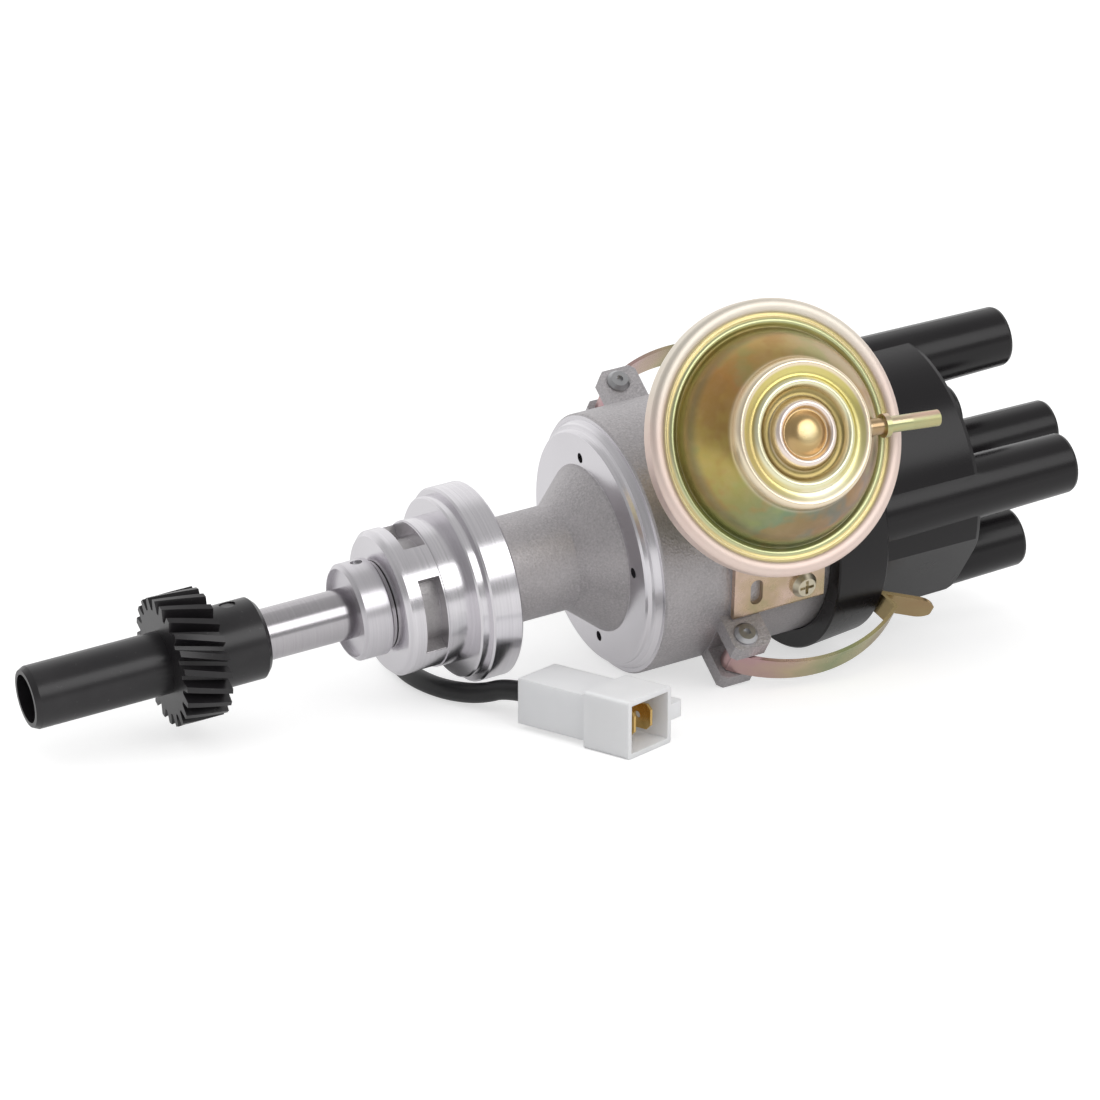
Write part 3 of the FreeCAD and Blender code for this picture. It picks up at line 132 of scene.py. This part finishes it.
class Graph:
    """Small helper that adds shader nodes and links them."""

    def __init__(self, name):
        self.material = bpy.data.materials.new(name)
        self.material.use_nodes = True
        self.tree = self.material.node_tree
        self.shader = self.tree.nodes["Principled BSDF"]
        self.coords = None

    def add(self, kind, **settings):
        node = self.tree.nodes.new(kind)
        for key, value in settings.items():
            setattr(node, key, value)
        return node

    def feed(self, socket, value):
        if isinstance(value, bpy.types.NodeSocket):
            self.tree.links.new(value, socket)
        else:
            socket.default_value = value

    def position(self):
        if self.coords is None:
            self.coords = self.add("ShaderNodeTexCoord").outputs["Object"]
        return self.coords

    def math(self, operation, a, b=0.0):
        node = self.add("ShaderNodeMath", operation=operation)
        self.feed(node.inputs[0], a)
        self.feed(node.inputs[1], b)
        return node.outputs[0]

    def ramp(self, factor, stops):
        node = self.add("ShaderNodeValToRGB")
        fill_ramp(node.color_ramp.elements, stops)
        self.feed(node.inputs["Fac"], factor)
        return node.outputs["Color"]

    def mix(self, factor, a, b):
        node = self.add("ShaderNodeMix", data_type="RGBA")
        self.feed(node.inputs[0], factor)
        for index, value in ((6, a), (7, b)):
            if isinstance(value, tuple) and len(value) == 3:
                value = (*value, 1)
            self.feed(node.inputs[index], value)
        return node.outputs[2]

    def lerp(self, factor, a, b):
        node = self.add("ShaderNodeMix", data_type="FLOAT")
        self.feed(node.inputs[0], factor)
        self.feed(node.inputs[2], a)
        self.feed(node.inputs[3], b)
        return node.outputs[0]

    def span(self, value, low, high):
        """Rises smoothly from 0 at low to 1 at high."""
        node = self.add("ShaderNodeMapRange", interpolation_type="SMOOTHSTEP")
        for index, item in enumerate((value, low, high)):
            self.feed(node.inputs[index], item)
        return node.outputs[0]

    def past(self, value, edge):
        """Rises smoothly from 0 to 1 across an edge given in millimetres."""
        return self.span(value, edge[0] * MM, edge[1] * MM)

    def between(self, value, limits, fade):
        """1 between two limits in millimetres, with soft ends."""
        low, high = (limit * MM for limit in limits)
        soft = fade * MM
        rise = self.span(value, low - soft, low + soft)
        fall = self.span(value, high - soft, high + soft)
        return self.math("MULTIPLY", rise, self.math("SUBTRACT", 1.0, fall))

    def noise(self, scale, detail=4.0, roughness=0.55, vector=None):
        node = self.add("ShaderNodeTexNoise")
        self.feed(node.inputs["Vector"], vector or self.position())
        node.inputs["Scale"].default_value = scale
        node.inputs["Detail"].default_value = detail
        node.inputs["Roughness"].default_value = roughness
        return node.outputs[0]

    def cells(self, scale):
        node = self.add("ShaderNodeTexVoronoi")
        self.feed(node.inputs["Vector"], self.position())
        node.inputs["Scale"].default_value = scale
        return node.outputs["Distance"]

    def parts(self, vector):
        node = self.add("ShaderNodeSeparateXYZ")
        self.feed(node.inputs[0], vector)
        return node.outputs

    def turned(self, vector, axis, angle):
        node = self.add("ShaderNodeVectorRotate", rotation_type=axis)
        self.feed(node.inputs["Vector"], vector)
        node.inputs["Angle"].default_value = angle
        return node.outputs[0]

    def shaft_frame(self):
        """Position with the pitch taken out: x along the shaft, y and z across it."""
        return self.turned(self.position(), "Y_AXIS", PITCH)

    def scaled(self, vector, factors):
        node = self.add("ShaderNodeVectorMath", operation="MULTIPLY")
        self.feed(node.inputs[0], vector)
        node.inputs[1].default_value = factors
        return node.outputs[0]

    def length2(self, a, b):
        squares = self.math("ADD", self.math("MULTIPLY", a, a), self.math("MULTIPLY", b, b))
        return self.math("SQRT", squares)

    def bump(self, height, strength, distance, normal=None):
        node = self.add("ShaderNodeBump")
        node.inputs["Strength"].default_value = strength
        node.inputs["Distance"].default_value = distance
        self.feed(node.inputs["Height"], height)
        if normal is not None:
            self.feed(node.inputs["Normal"], normal)
        return node.outputs[0]

    def set(self, **values):
        names = {"colour": "Base Color", "metallic": "Metallic", "roughness": "Roughness",
                 "normal": "Normal", "specular": "Specular IOR Level", "emission": "Emission Strength",
                 "subsurface": "Subsurface Weight", "subsurface_scale": "Subsurface Scale"}
        for key, value in values.items():
            if isinstance(value, tuple) and len(value) == 3:
                value = (*value, 1)
            self.feed(self.shader.inputs[names[key]], value)
        return self.material


# Materials

def cast_aluminium():
    """Sand-grained casting with bright turned bands on the shank, collar and bowl face, and painted shade
    inside the window pockets.
    """
    g = Graph("cast_aluminium")
    x, y, z = g.parts(g.shaft_frame())
    r = g.length2(y, z)
    low_end = g.math("SUBTRACT", 1.0, g.past(x, SHANK_TURNED_END))
    face = g.between(x, BOWL_FACE, BOWL_FACE_FADE)
    face = g.math("MULTIPLY", face, g.past(r, BOWL_FACE_INNER))
    rim = g.past(x, BOWL_RIM)
    machined = g.math("MAXIMUM", g.math("MAXIMUM", low_end, face), rim)
    pocket = g.math("MULTIPLY", g.between(x, WINDOW, WINDOW_FADE),
                    g.math("SUBTRACT", 1.0, g.past(r, WINDOW_DEPTH)))
    machined = g.math("MULTIPLY", machined, g.math("SUBTRACT", 1.0, g.math("MULTIPLY", pocket, 0.85)))

    grain = g.noise(1900.0, 3.0, 0.7)
    speckle = g.cells(1500.0)
    blotch = g.noise(55.0, 4.0)
    stain = g.noise(16.0, 3.0)
    cast = g.ramp(grain, [(0.25, (0.34, 0.326, 0.335)), (0.55, (0.49, 0.467, 0.478)),
                          (0.8, (0.64, 0.61, 0.625))])
    cast = g.mix(g.math("MULTIPLY", g.span(blotch, 0.42, 0.7), 0.35), cast, (0.60, 0.57, 0.58))
    cast = g.mix(g.math("MULTIPLY", g.span(stain, 0.5, 0.72), 0.3), cast, (0.42, 0.385, 0.385))
    # Inside the window pockets the cast colour is darkened: painted shade in the recesses.
    cast = g.mix(g.math("MULTIPLY", pocket, 0.5), cast, (0.22, 0.21, 0.20))
    streak = g.noise(1.0, 2.0, 0.5, vector=g.scaled(g.shaft_frame(), (2600.0, 22.0, 22.0)))
    bright = g.ramp(streak, [(0.3, (0.72, 0.70, 0.73)), (0.7, (0.80, 0.78, 0.81))])
    colour = g.mix(machined, cast, bright)

    cast_rough = g.lerp(speckle, 0.5, 0.38)
    bright_rough = g.lerp(streak, 0.19, 0.25)
    height = g.math("ADD", g.math("MULTIPLY", grain, 0.6), g.math("MULTIPLY", speckle, 0.6))
    rough_bump = g.bump(g.math("MULTIPLY", height, g.math("SUBTRACT", 1.0, machined)), 0.55, 0.00022)
    fine_bump = g.bump(g.math("MULTIPLY", streak, machined), 0.12, 0.00002, rough_bump)
    roughness = g.lerp(machined, cast_rough, bright_rough)
    return g.set(colour=colour, metallic=g.lerp(machined, 0.62, 1.0), roughness=roughness,
                 normal=fine_bump)


def turned_metal(name, dark, light, rough):
    """Metal with the fine rings that turning leaves round the shaft axis."""
    g = Graph(name)
    rings = g.noise(1.0, 2.0, 0.5, vector=g.scaled(g.shaft_frame(), (2400.0, 30.0, 30.0)))
    cloud = g.noise(70.0, 4.0)
    colour = g.ramp(rings, [(0.3, dark), (0.7, light)])
    return g.set(colour=colour, metallic=1.0, roughness=g.lerp(cloud, rough * 0.8, rough * 1.25),
                 normal=g.bump(rings, 0.2, 0.00001))


def black_oxide():
    """Blackened steel with a satin, slightly oily surface and paler worn flecks."""
    g = Graph("black_oxide")
    fine = g.noise(900.0, 3.0, 0.6)
    cloud = g.noise(90.0, 4.0)
    colour = g.ramp(cloud, [(0.3, (0.009, 0.008, 0.0095)), (0.75, (0.021, 0.019, 0.021))])
    fleck = g.span(fine, 0.66, 0.78)
    colour = g.mix(g.math("MULTIPLY", fleck, 0.5), colour, (0.09, 0.088, 0.088))
    return g.set(colour=colour, metallic=0.1, specular=0.6, roughness=g.lerp(cloud, 0.25, 0.35),
                 normal=g.bump(fine, 0.2, 0.00004))


def plain_steel(name="plain_steel", tint=(0.5, 0.5, 0.51), rough=0.32):
    """Steel with a soft cloud in its tint and gloss."""
    g = Graph(name)
    cloud = g.noise(160.0, 4.0)
    fine = g.noise(1400.0, 2.0)
    colour = g.mix(cloud, tuple(c * 0.75 for c in tint), tuple(min(1, c * 1.2) for c in tint))
    return g.set(colour=colour, metallic=1.0, roughness=g.lerp(cloud, rough * 0.8, rough * 1.3),
                 normal=g.bump(fine, 0.2, 0.00003))


def moulded(name, low, high, rough, grain=700.0, bump=0.12, specular=0.5):
    """Moulded plastic or rubber with faint flow marks and a fine grain."""
    g = Graph(name)
    flow = g.noise(45.0, 3.0)
    fine = g.noise(grain, 3.0, 0.6)
    colour = g.mix(flow, low, high)
    return g.set(colour=colour, roughness=g.lerp(flow, rough * 0.85, rough * 1.15), specular=specular,
                 normal=g.bump(fine, bump, 0.00008))


def canister_frame(g):
    """Distance from the vacuum unit's axis, height along it and place across it, in metres."""
    flat = g.turned(g.shaft_frame(), "X_AXIS", CANISTER_ANGLE)
    x, y, z = g.parts(flat)
    x = g.math("SUBTRACT", x, CANISTER_AXIS[0] * MM)
    y = g.math("SUBTRACT", y, CANISTER_AXIS[1] * MM)
    return g.length2(x, y), z, x, y


def yellow_zinc():
    """Yellow chromate on zinc: gold with interference colours, plus painted reflections and highlights that
    change round the dish, a painted highlight at the dome's centre, painted shade in the fillet groove and a
    painted highlight on the bead's upper side.
    """
    g = Graph("yellow_zinc")
    r, z, x, y = canister_frame(g)
    drift = g.noise(38.0, 3.0, 0.5)
    patch = g.noise(120.0, 4.0, 0.6)
    fine = g.noise(700.0, 3.0)
    around = g.math("ADD", g.math("DIVIDE", g.math("ARCTAN2", y, x), 2 * math.pi), 0.5)
    wobble = g.math("MULTIPLY", g.math("SUBTRACT", drift, 0.5), 0.12)
    around = g.math("ADD", around, wobble)

    olive_gold = (0.56, 0.43, 0.13)
    brown = (0.56, 0.30, 0.10)
    # Wall colour by side round the dish: chromate tints together with painted reflection, darker brown on
    # one side and dark green-grey on another.
    wall_tint_and_reflection = g.ramp(around, [(0.0, olive_gold), (0.08, (0.36, 0.33, 0.12)), (0.17, (0.24, 0.32, 0.19)),
                           (0.26, (0.23, 0.24, 0.19)), (0.36, (0.31, 0.23, 0.17)), (0.5, (0.50, 0.36, 0.20)),
                           (0.64, (0.50, 0.40, 0.24)), (0.75, (0.54, 0.38, 0.14)), (0.86, brown),
                           (1.0, olive_gold)])
    mottle = g.noise(75.0, 3.0, 0.6)
    wall_tint_and_reflection = g.mix(g.math("MULTIPLY", g.span(mottle, 0.50, 0.62), 0.55), wall_tint_and_reflection, (0.46, 0.25, 0.09))
    wall_tint_and_reflection = g.mix(g.math("MULTIPLY", g.span(mottle, 0.48, 0.36), 0.45), wall_tint_and_reflection, (0.36, 0.40, 0.15))
    gold = (0.72, 0.58, 0.23)
    # Plateau colour by side round the dish: gold tint with a painted highlight that is nearly white on one
    # side.
    plateau_tint_and_highlight = g.ramp(around, [(0.0, gold), (0.12, (0.88, 0.74, 0.32)), (0.25, (1.0, 0.95, 0.72)),
                              (0.38, (0.94, 0.85, 0.46)), (0.55, (0.68, 0.60, 0.21)),
                              (0.75, (0.80, 0.71, 0.25)), (0.9, (0.66, 0.54, 0.20)), (1.0, gold)])
    plateau_tint_and_highlight = g.mix(g.math("MULTIPLY", g.span(mottle, 0.48, 0.62), 0.3), plateau_tint_and_highlight, (0.62, 0.62, 0.24))
    dip = (0.38, 0.30, 0.12)
    pink = (0.99, 0.86, 0.78)
    ridge = (0.95, 0.93, 0.64)
    dome = (0.58, 0.40, 0.18)
    # The bright colour at the dome's centre is a painted highlight.
    rings = [(0.0, (0.98, 0.86, 0.54)), (0.045, (0.90, 0.72, 0.38)), (0.10, dome), (0.165, dome),
             (0.195, pink), (0.245, pink), (0.275, dip), (0.325, dip), (0.355, ridge), (0.385, ridge)]
    inner = g.ramp(g.math("DIVIDE", r, RIM_R * MM), rings)
    colour = g.mix(g.past(r, CREST_EDGE), inner, plateau_tint_and_highlight)
    lip = g.mix(patch, (0.96, 0.78, 0.60), (0.98, 0.90, 0.66))
    colour = g.mix(g.past(r, LIP_EDGE), colour, lip)
    colour = g.mix(g.past(r, WALL_EDGE), colour, wall_tint_and_reflection)
    # The fillet at the wall's foot is darkened: painted shade in its groove.
    fillet_shade = g.mix(0.62, wall_tint_and_reflection, (0.20, 0.20, 0.12))
    colour = g.mix(g.past(r, FILLET_EDGE), colour, fillet_shade)
    band = g.mix(patch, (0.52, 0.58, 0.30), (0.66, 0.66, 0.38))
    colour = g.mix(g.past(r, BAND_EDGE), colour, band)
    colour = g.mix(g.past(r, SEAM_EDGE), colour, (0.90, 0.82, 0.56))
    bead = g.mix(patch, (0.84, 0.67, 0.61), (0.90, 0.77, 0.69))
    # The bead's upper side is paler: a painted highlight.
    bead = g.mix(g.past(y, BEAD_HIGHLIGHT_SIDE), bead, (0.88, 0.82, 0.72))
    colour = g.mix(g.past(r, BEAD_EDGE), colour, bead)
    tube = g.ramp(g.noise(1.0, 2.0, 0.5, vector=g.scaled(g.shaft_frame(), (25.0, 420.0, 420.0))),
                  [(0.3, (0.62, 0.50, 0.24)), (0.5, (0.50, 0.52, 0.28)), (0.7, (0.80, 0.58, 0.46))])
    on_tube = g.between(z, TUBE_HEIGHT, TUBE_FADE)
    colour = g.mix(g.math("MULTIPLY", g.past(x, TUBE_EDGE), on_tube), colour, tube)
    hue_shift = g.math("MULTIPLY", g.math("SUBTRACT", patch, 0.5), 0.5)
    colour = g.mix(g.math("ABSOLUTE", hue_shift), colour, (0.80, 0.56, 0.42))
    satin = g.lerp(patch, 0.26, 0.36)
    satin = g.lerp(g.past(r, BEAD_EDGE), satin, 0.5)
    return g.set(colour=colour, metallic=1.0, roughness=satin, normal=g.bump(fine, 0.08, 0.00004))


def bracket_zinc():
    """Pinkish copper chromate of the bracket, with olive and brown patches."""
    g = Graph("bracket_zinc")
    drift = g.noise(95.0, 3.0)
    patch = g.noise(320.0, 4.0, 0.6)
    colour = g.ramp(drift, [(0.28, (0.44, 0.42, 0.22)), (0.42, (0.66, 0.50, 0.34)),
                            (0.6, (0.80, 0.60, 0.50)), (0.78, (0.62, 0.46, 0.30))])
    colour = g.mix(g.math("MULTIPLY", patch, 0.35), colour, (0.34, 0.27, 0.17))
    return g.set(colour=colour, metallic=1.0, roughness=g.lerp(patch, 0.2, 0.36),
                 normal=g.bump(patch, 0.1, 0.00004))


def bail_zinc():
    """Spring steel with a purple to olive chromate that changes along its length."""
    g = Graph("bail_zinc")
    x = g.parts(g.shaft_frame())[0]
    drift = g.noise(60.0, 3.0)
    wander = g.math("MULTIPLY", g.math("SUBTRACT", drift, 0.5), 0.5)
    along = g.math("ADD", g.past(x, BAIL_SPAN), wander)
    colour = g.ramp(along, [(0.0, (0.58, 0.36, 0.40)), (0.25, (0.62, 0.50, 0.33)),
                            (0.45, (0.36, 0.40, 0.20)), (0.7, (0.52, 0.46, 0.22)),
                            (1.0, (0.42, 0.29, 0.15))])
    return g.set(colour=colour, metallic=1.0, roughness=g.lerp(drift, 0.2, 0.34),
                 normal=g.bump(g.noise(900.0), 0.08, 0.00003))


def nylon():
    """Milky nylon moulding."""
    g = Graph("white_nylon")
    flow = g.noise(90.0, 3.0)
    colour = g.mix(flow, (0.82, 0.825, 0.84), (0.90, 0.905, 0.92))
    material = g.set(colour=colour, roughness=g.lerp(flow, 0.34, 0.46), subsurface=0.35,
                     subsurface_scale=3 * MM, normal=g.bump(g.noise(500.0), 0.08, 0.00004))
    g.shader.inputs["Subsurface Radius"].default_value = (1.0, 1.0, 1.0)
    return material


# One material for each slot of the record, and a few for single pieces

looks = {
    "cast_aluminium": cast_aluminium(),
    "bright_steel": turned_metal("bright_steel", (0.49, 0.47, 0.49), (0.54, 0.52, 0.54), 0.2),
    "black_steel": black_oxide(),
    "bronze": turned_metal("bronze", (0.50, 0.33, 0.16), (0.66, 0.46, 0.25), 0.3),
    "plain_steel": plain_steel(),
    "black_plastic": moulded("black_plastic", (0.006, 0.005, 0.006), (0.011, 0.0095, 0.0105), 0.26,
                             specular=0.36),
    "brown_plastic": moulded("brown_plastic", (0.10, 0.045, 0.03), (0.16, 0.07, 0.045), 0.4),
    "brass": turned_metal("brass", (0.66, 0.43, 0.14), (0.80, 0.56, 0.22), 0.24),
    "carbon": moulded("carbon", (0.02, 0.02, 0.02), (0.04, 0.04, 0.04), 0.5),
    "yellow_zinc": yellow_zinc(),
    "bracket_zinc": bracket_zinc(),
    "black_rubber": moulded("black_rubber", (0.012, 0.012, 0.012), (0.02, 0.02, 0.02), 0.55),
    "felt": moulded("felt", (0.42, 0.38, 0.30), (0.55, 0.50, 0.42), 0.95, 1500.0, 0.8),
    "copper_winding": turned_metal("copper_winding", (0.55, 0.24, 0.12), (0.70, 0.34, 0.18), 0.3),
    "magnet_black": moulded("magnet_black", (0.03, 0.03, 0.032), (0.05, 0.05, 0.053), 0.5),
    "white_nylon": nylon(),
    "black_cable": moulded("black_cable", (0.010, 0.010, 0.011), (0.018, 0.018, 0.019), 0.4),
}

slots = {entry["node"]: entry["material_slot"] for entry in frame["record"]["subparts"]}
special = {"upper_bail": bail_zinc(), "bracket_screw": plain_steel("screw_zinc", (0.66, 0.60, 0.46), 0.34)}
special["lower_bail"] = special["upper_bail"]
special["gear_pin"] = looks["black_steel"]
special["thrust_collar"] = turned_metal("collar_steel", (0.64, 0.62, 0.65), (0.71, 0.69, 0.72), 0.3)

for name in nodes:
    mesh = nodes[name].data
    mesh.materials.clear()
    mesh.materials.append(special.get(name, looks[slots[name]]))


# Broad rim of the mounting collar

LIP_R = 22.8
COLLAR_RIM_R = 24.52
COLLAR_RIM_START = 2.6
COLLAR_RIM_END = 5.9
COLLAR_RIM_CHAMFER = 0.45
COLLAR_RIM_SINK = 0.3
SMOOTH_ANGLE = math.radians(30)


def turned_ring(name, profile, steps=180):
    """Closed ring round the shaft's axis from (along, radius) corners in millimetres."""
    form = bmesh.new()
    tilt = Matrix.Rotation(-PITCH, 3, "Y")
    rings = []
    for step in range(steps):
        angle = 2 * math.pi * step / steps
        corners = [Vector((x, r * math.cos(angle), r * math.sin(angle))) for x, r in profile]
        rings.append([form.verts.new(tilt @ corner * MM) for corner in corners])
    for ring, following in zip(rings, rings[1:] + rings[:1]):
        for a in range(len(profile)):
            b = (a + 1) % len(profile)
            form.faces.new((ring[a], ring[b], following[b], following[a]))
    bmesh.ops.recalc_face_normals(form, faces=form.faces)
    mesh = bpy.data.meshes.new(name)
    form.to_mesh(mesh)
    form.free()
    for face in mesh.polygons:
        face.use_smooth = True
    mesh.set_sharp_from_angle(angle=SMOOTH_ANGLE)
    piece = bpy.data.objects.new(name, mesh)
    bpy.context.scene.collection.objects.link(piece)
    return piece


def rim_section():
    """Section of the rim: it sinks a little into the lip under it and is chamfered at its low end."""
    inside = LIP_R - COLLAR_RIM_SINK
    return [(COLLAR_RIM_START, inside), (COLLAR_RIM_START, COLLAR_RIM_R - COLLAR_RIM_CHAMFER),
            (COLLAR_RIM_START + COLLAR_RIM_CHAMFER, COLLAR_RIM_R),
            (COLLAR_RIM_END, COLLAR_RIM_R), (COLLAR_RIM_END, inside)]


collar_rim = turned_ring("collar_rim", rim_section())
collar_rim.data.materials.append(looks["cast_aluminium"])
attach(collar_rim, "housing")


# Cable

CABLE_R = 2.5
CABLE_TABLE = -27.95
CABLE_LIE = CABLE_TABLE + CABLE_R
CABLE_ROUTE = [
    (72.11, 29.05, 3.17), (72.43, 44.61, 0.45), (69, 55, CABLE_LIE + 20.5), (60, 60.5, CABLE_LIE + 12),
    (47.5, 60.5, CABLE_LIE + 5), (33.5, 57, CABLE_LIE + 0.6), (20, 51.5, CABLE_LIE), (9, 43, CABLE_LIE),
    (1.5, 32.5, CABLE_LIE), (-2.5, 20.5, CABLE_LIE), (-3.2, 8.5, CABLE_LIE), (-0.5, -3, CABLE_LIE),
    (4.5, -13, CABLE_LIE + 1.2), (9.269, -20.15, -20.75), (17.088, -36.916, -20.75)]


def round_cord(name, route, radius):
    """Round cord on one smooth curve along a route in millimetres."""
    line = bpy.data.curves.new("cable_line", "CURVE")
    line.dimensions = "3D"
    spline = line.splines.new("NURBS")
    spline.points.add(len(route) - 1)
    for point, place in zip(spline.points, route):
        point.co = (*(c * MM for c in place), 1)
    spline.order_u = 3
    spline.use_endpoint_u = True
    spline.resolution_u = 12
    line.bevel_depth = radius * MM
    line.bevel_resolution = 8
    line.use_fill_caps = True
    piece = bpy.data.objects.new(name, line)
    bpy.context.scene.collection.objects.link(piece)
    return piece


cable = round_cord("cable_cord", CABLE_ROUTE, CABLE_R)
cable.data.materials.append(looks["black_cable"])
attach(cable, "housing")
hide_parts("cable")


# Stage, lights and camera

def floor():
    """Pale floor that glows only for the camera and in mirrors, so it keeps the object's shadow."""
    mesh = bpy.data.meshes.new("floor")
    corners = [(FLOOR_HALF * x, FLOOR_HALF * y, FLOOR_Z) for x, y in ((-1, -1), (1, -1), (1, 1), (-1, 1))]
    mesh.from_pydata(corners, [], [(0, 1, 2, 3)])
    plane = bpy.data.objects.new("floor", mesh)
    bpy.context.scene.collection.objects.link(plane)
    g = Graph("floor")
    rays = g.add("ShaderNodeLightPath").outputs
    mirrored = g.math("MAXIMUM", rays["Is Glossy Ray"], rays["Is Transmission Ray"])
    glow = g.math("ADD", g.math("MULTIPLY", rays["Is Camera Ray"], SEEN_GLOW),
                  g.math("MULTIPLY", mirrored, MIRRORED_GLOW))
    g.set(colour=FLOOR_GREY, roughness=0.9, specular=0.0, emission=glow)
    g.shader.inputs["Emission Color"].default_value = WHITE
    mesh.materials.append(g.material)


def softbox(name, direction, distance, width, height, radiance):
    """Rectangular light that faces the object from a direction, given its brightness per area."""
    aim = Vector(LIGHT_AIM)
    place = aim + Vector(direction).normalized() * distance
    lamp = bpy.data.lights.new(name, "AREA")
    lamp.shape = "RECTANGLE"
    lamp.size = width
    lamp.size_y = height
    lamp.energy = radiance * math.pi * width * height
    piece = bpy.data.objects.new(name, lamp)
    piece.location = place
    piece.rotation_euler = (aim - place).to_track_quat("-Z", "Y").to_euler()
    bpy.context.scene.collection.objects.link(piece)


def map_range(tree, value, low, high, to_low, to_high):
    """Maps one range onto another smoothly."""
    node = tree.nodes.new("ShaderNodeMapRange")
    node.interpolation_type = "SMOOTHSTEP"
    for index, item in enumerate((low, high, to_low, to_high)):
        node.inputs[index + 1].default_value = item
    tree.links.new(value, node.inputs[0])
    return node.outputs[0]


def surroundings():
    """White for the camera, plain light on the object, and in mirrors a white sweep with a dim room."""
    world = bpy.data.worlds.new("studio")
    bpy.context.scene.world = world
    world.use_nodes = True
    tree = world.node_tree
    tree.nodes.clear()
    links = tree.links
    coordinate = tree.nodes.new("ShaderNodeTexCoord").outputs["Generated"]
    split = tree.nodes.new("ShaderNodeSeparateXYZ")
    links.new(coordinate, split.inputs[0])
    facing = tree.nodes.new("ShaderNodeVectorMath")
    facing.operation = "DOT_PRODUCT"
    facing.inputs[1].default_value = CAMERA_BACK
    links.new(coordinate, facing.inputs[0])
    share = map_range(tree, facing.outputs["Value"], -1.0, 1.0, 0.0, 1.0)
    shade = tree.nodes.new("ShaderNodeValToRGB")
    fill_ramp(shade.color_ramp.elements, [(at, (level, level, level)) for at, level in ROOM])
    links.new(share, shade.inputs[0])
    mirrored = background(tree, shade.outputs[0], 1.0)
    height = map_range(tree, split.outputs[2], PLAIN_FROM, PLAIN_TO, PLAIN_LOW, PLAIN_HIGH)
    plain = background(tree, WHITE, height)
    rays = tree.nodes.new("ShaderNodeLightPath").outputs
    either = tree.nodes.new("ShaderNodeMath")
    either.operation = "MAXIMUM"
    links.new(rays["Is Glossy Ray"], either.inputs[0])
    links.new(rays["Is Transmission Ray"], either.inputs[1])
    lit = choose(tree, either.outputs[0], plain, mirrored)
    seen = choose(tree, rays["Is Camera Ray"], lit, background(tree, WHITE, 1.0))
    links.new(seen, tree.nodes.new("ShaderNodeOutputWorld").inputs[0])


def background(tree, colour, strength):
    node = tree.nodes.new("ShaderNodeBackground")
    for socket, value in zip(node.inputs, (colour, strength)):
        if isinstance(value, bpy.types.NodeSocket):
            tree.links.new(value, socket)
        else:
            socket.default_value = value
    return node.outputs[0]


def choose(tree, share, otherwise, chosen):
    """The chosen shader where share is 1, and the other where it is 0."""
    node = tree.nodes.new("ShaderNodeMixShader")
    tree.links.new(share, node.inputs[0])
    tree.links.new(otherwise, node.inputs[1])
    tree.links.new(chosen, node.inputs[2])
    return node.outputs[0]


def camera():
    lens = bpy.data.cameras.new("camera")
    lens.sensor_width = SENSOR_WIDTH
    lens.lens = FOCAL_PIXELS / FRAME_PIXELS * SENSOR_WIDTH
    lens.clip_end = CLIP_END
    viewer = bpy.data.objects.new("camera", lens)
    turn = Matrix((CAMERA_RIGHT, CAMERA_UP, CAMERA_BACK)).transposed().to_4x4()
    viewer.matrix_world = Matrix.Translation(Vector(CAMERA_PLACE) * MM) @ turn
    bpy.context.scene.collection.objects.link(viewer)
    bpy.context.scene.camera = viewer


floor()
surroundings()
softbox("front", FRONT_DIRECTION, FRONT_DISTANCE, FRONT_WIDTH, FRONT_HEIGHT, FRONT_RADIANCE)
camera()
bpy.context.scene.view_settings.view_transform = "Standard"
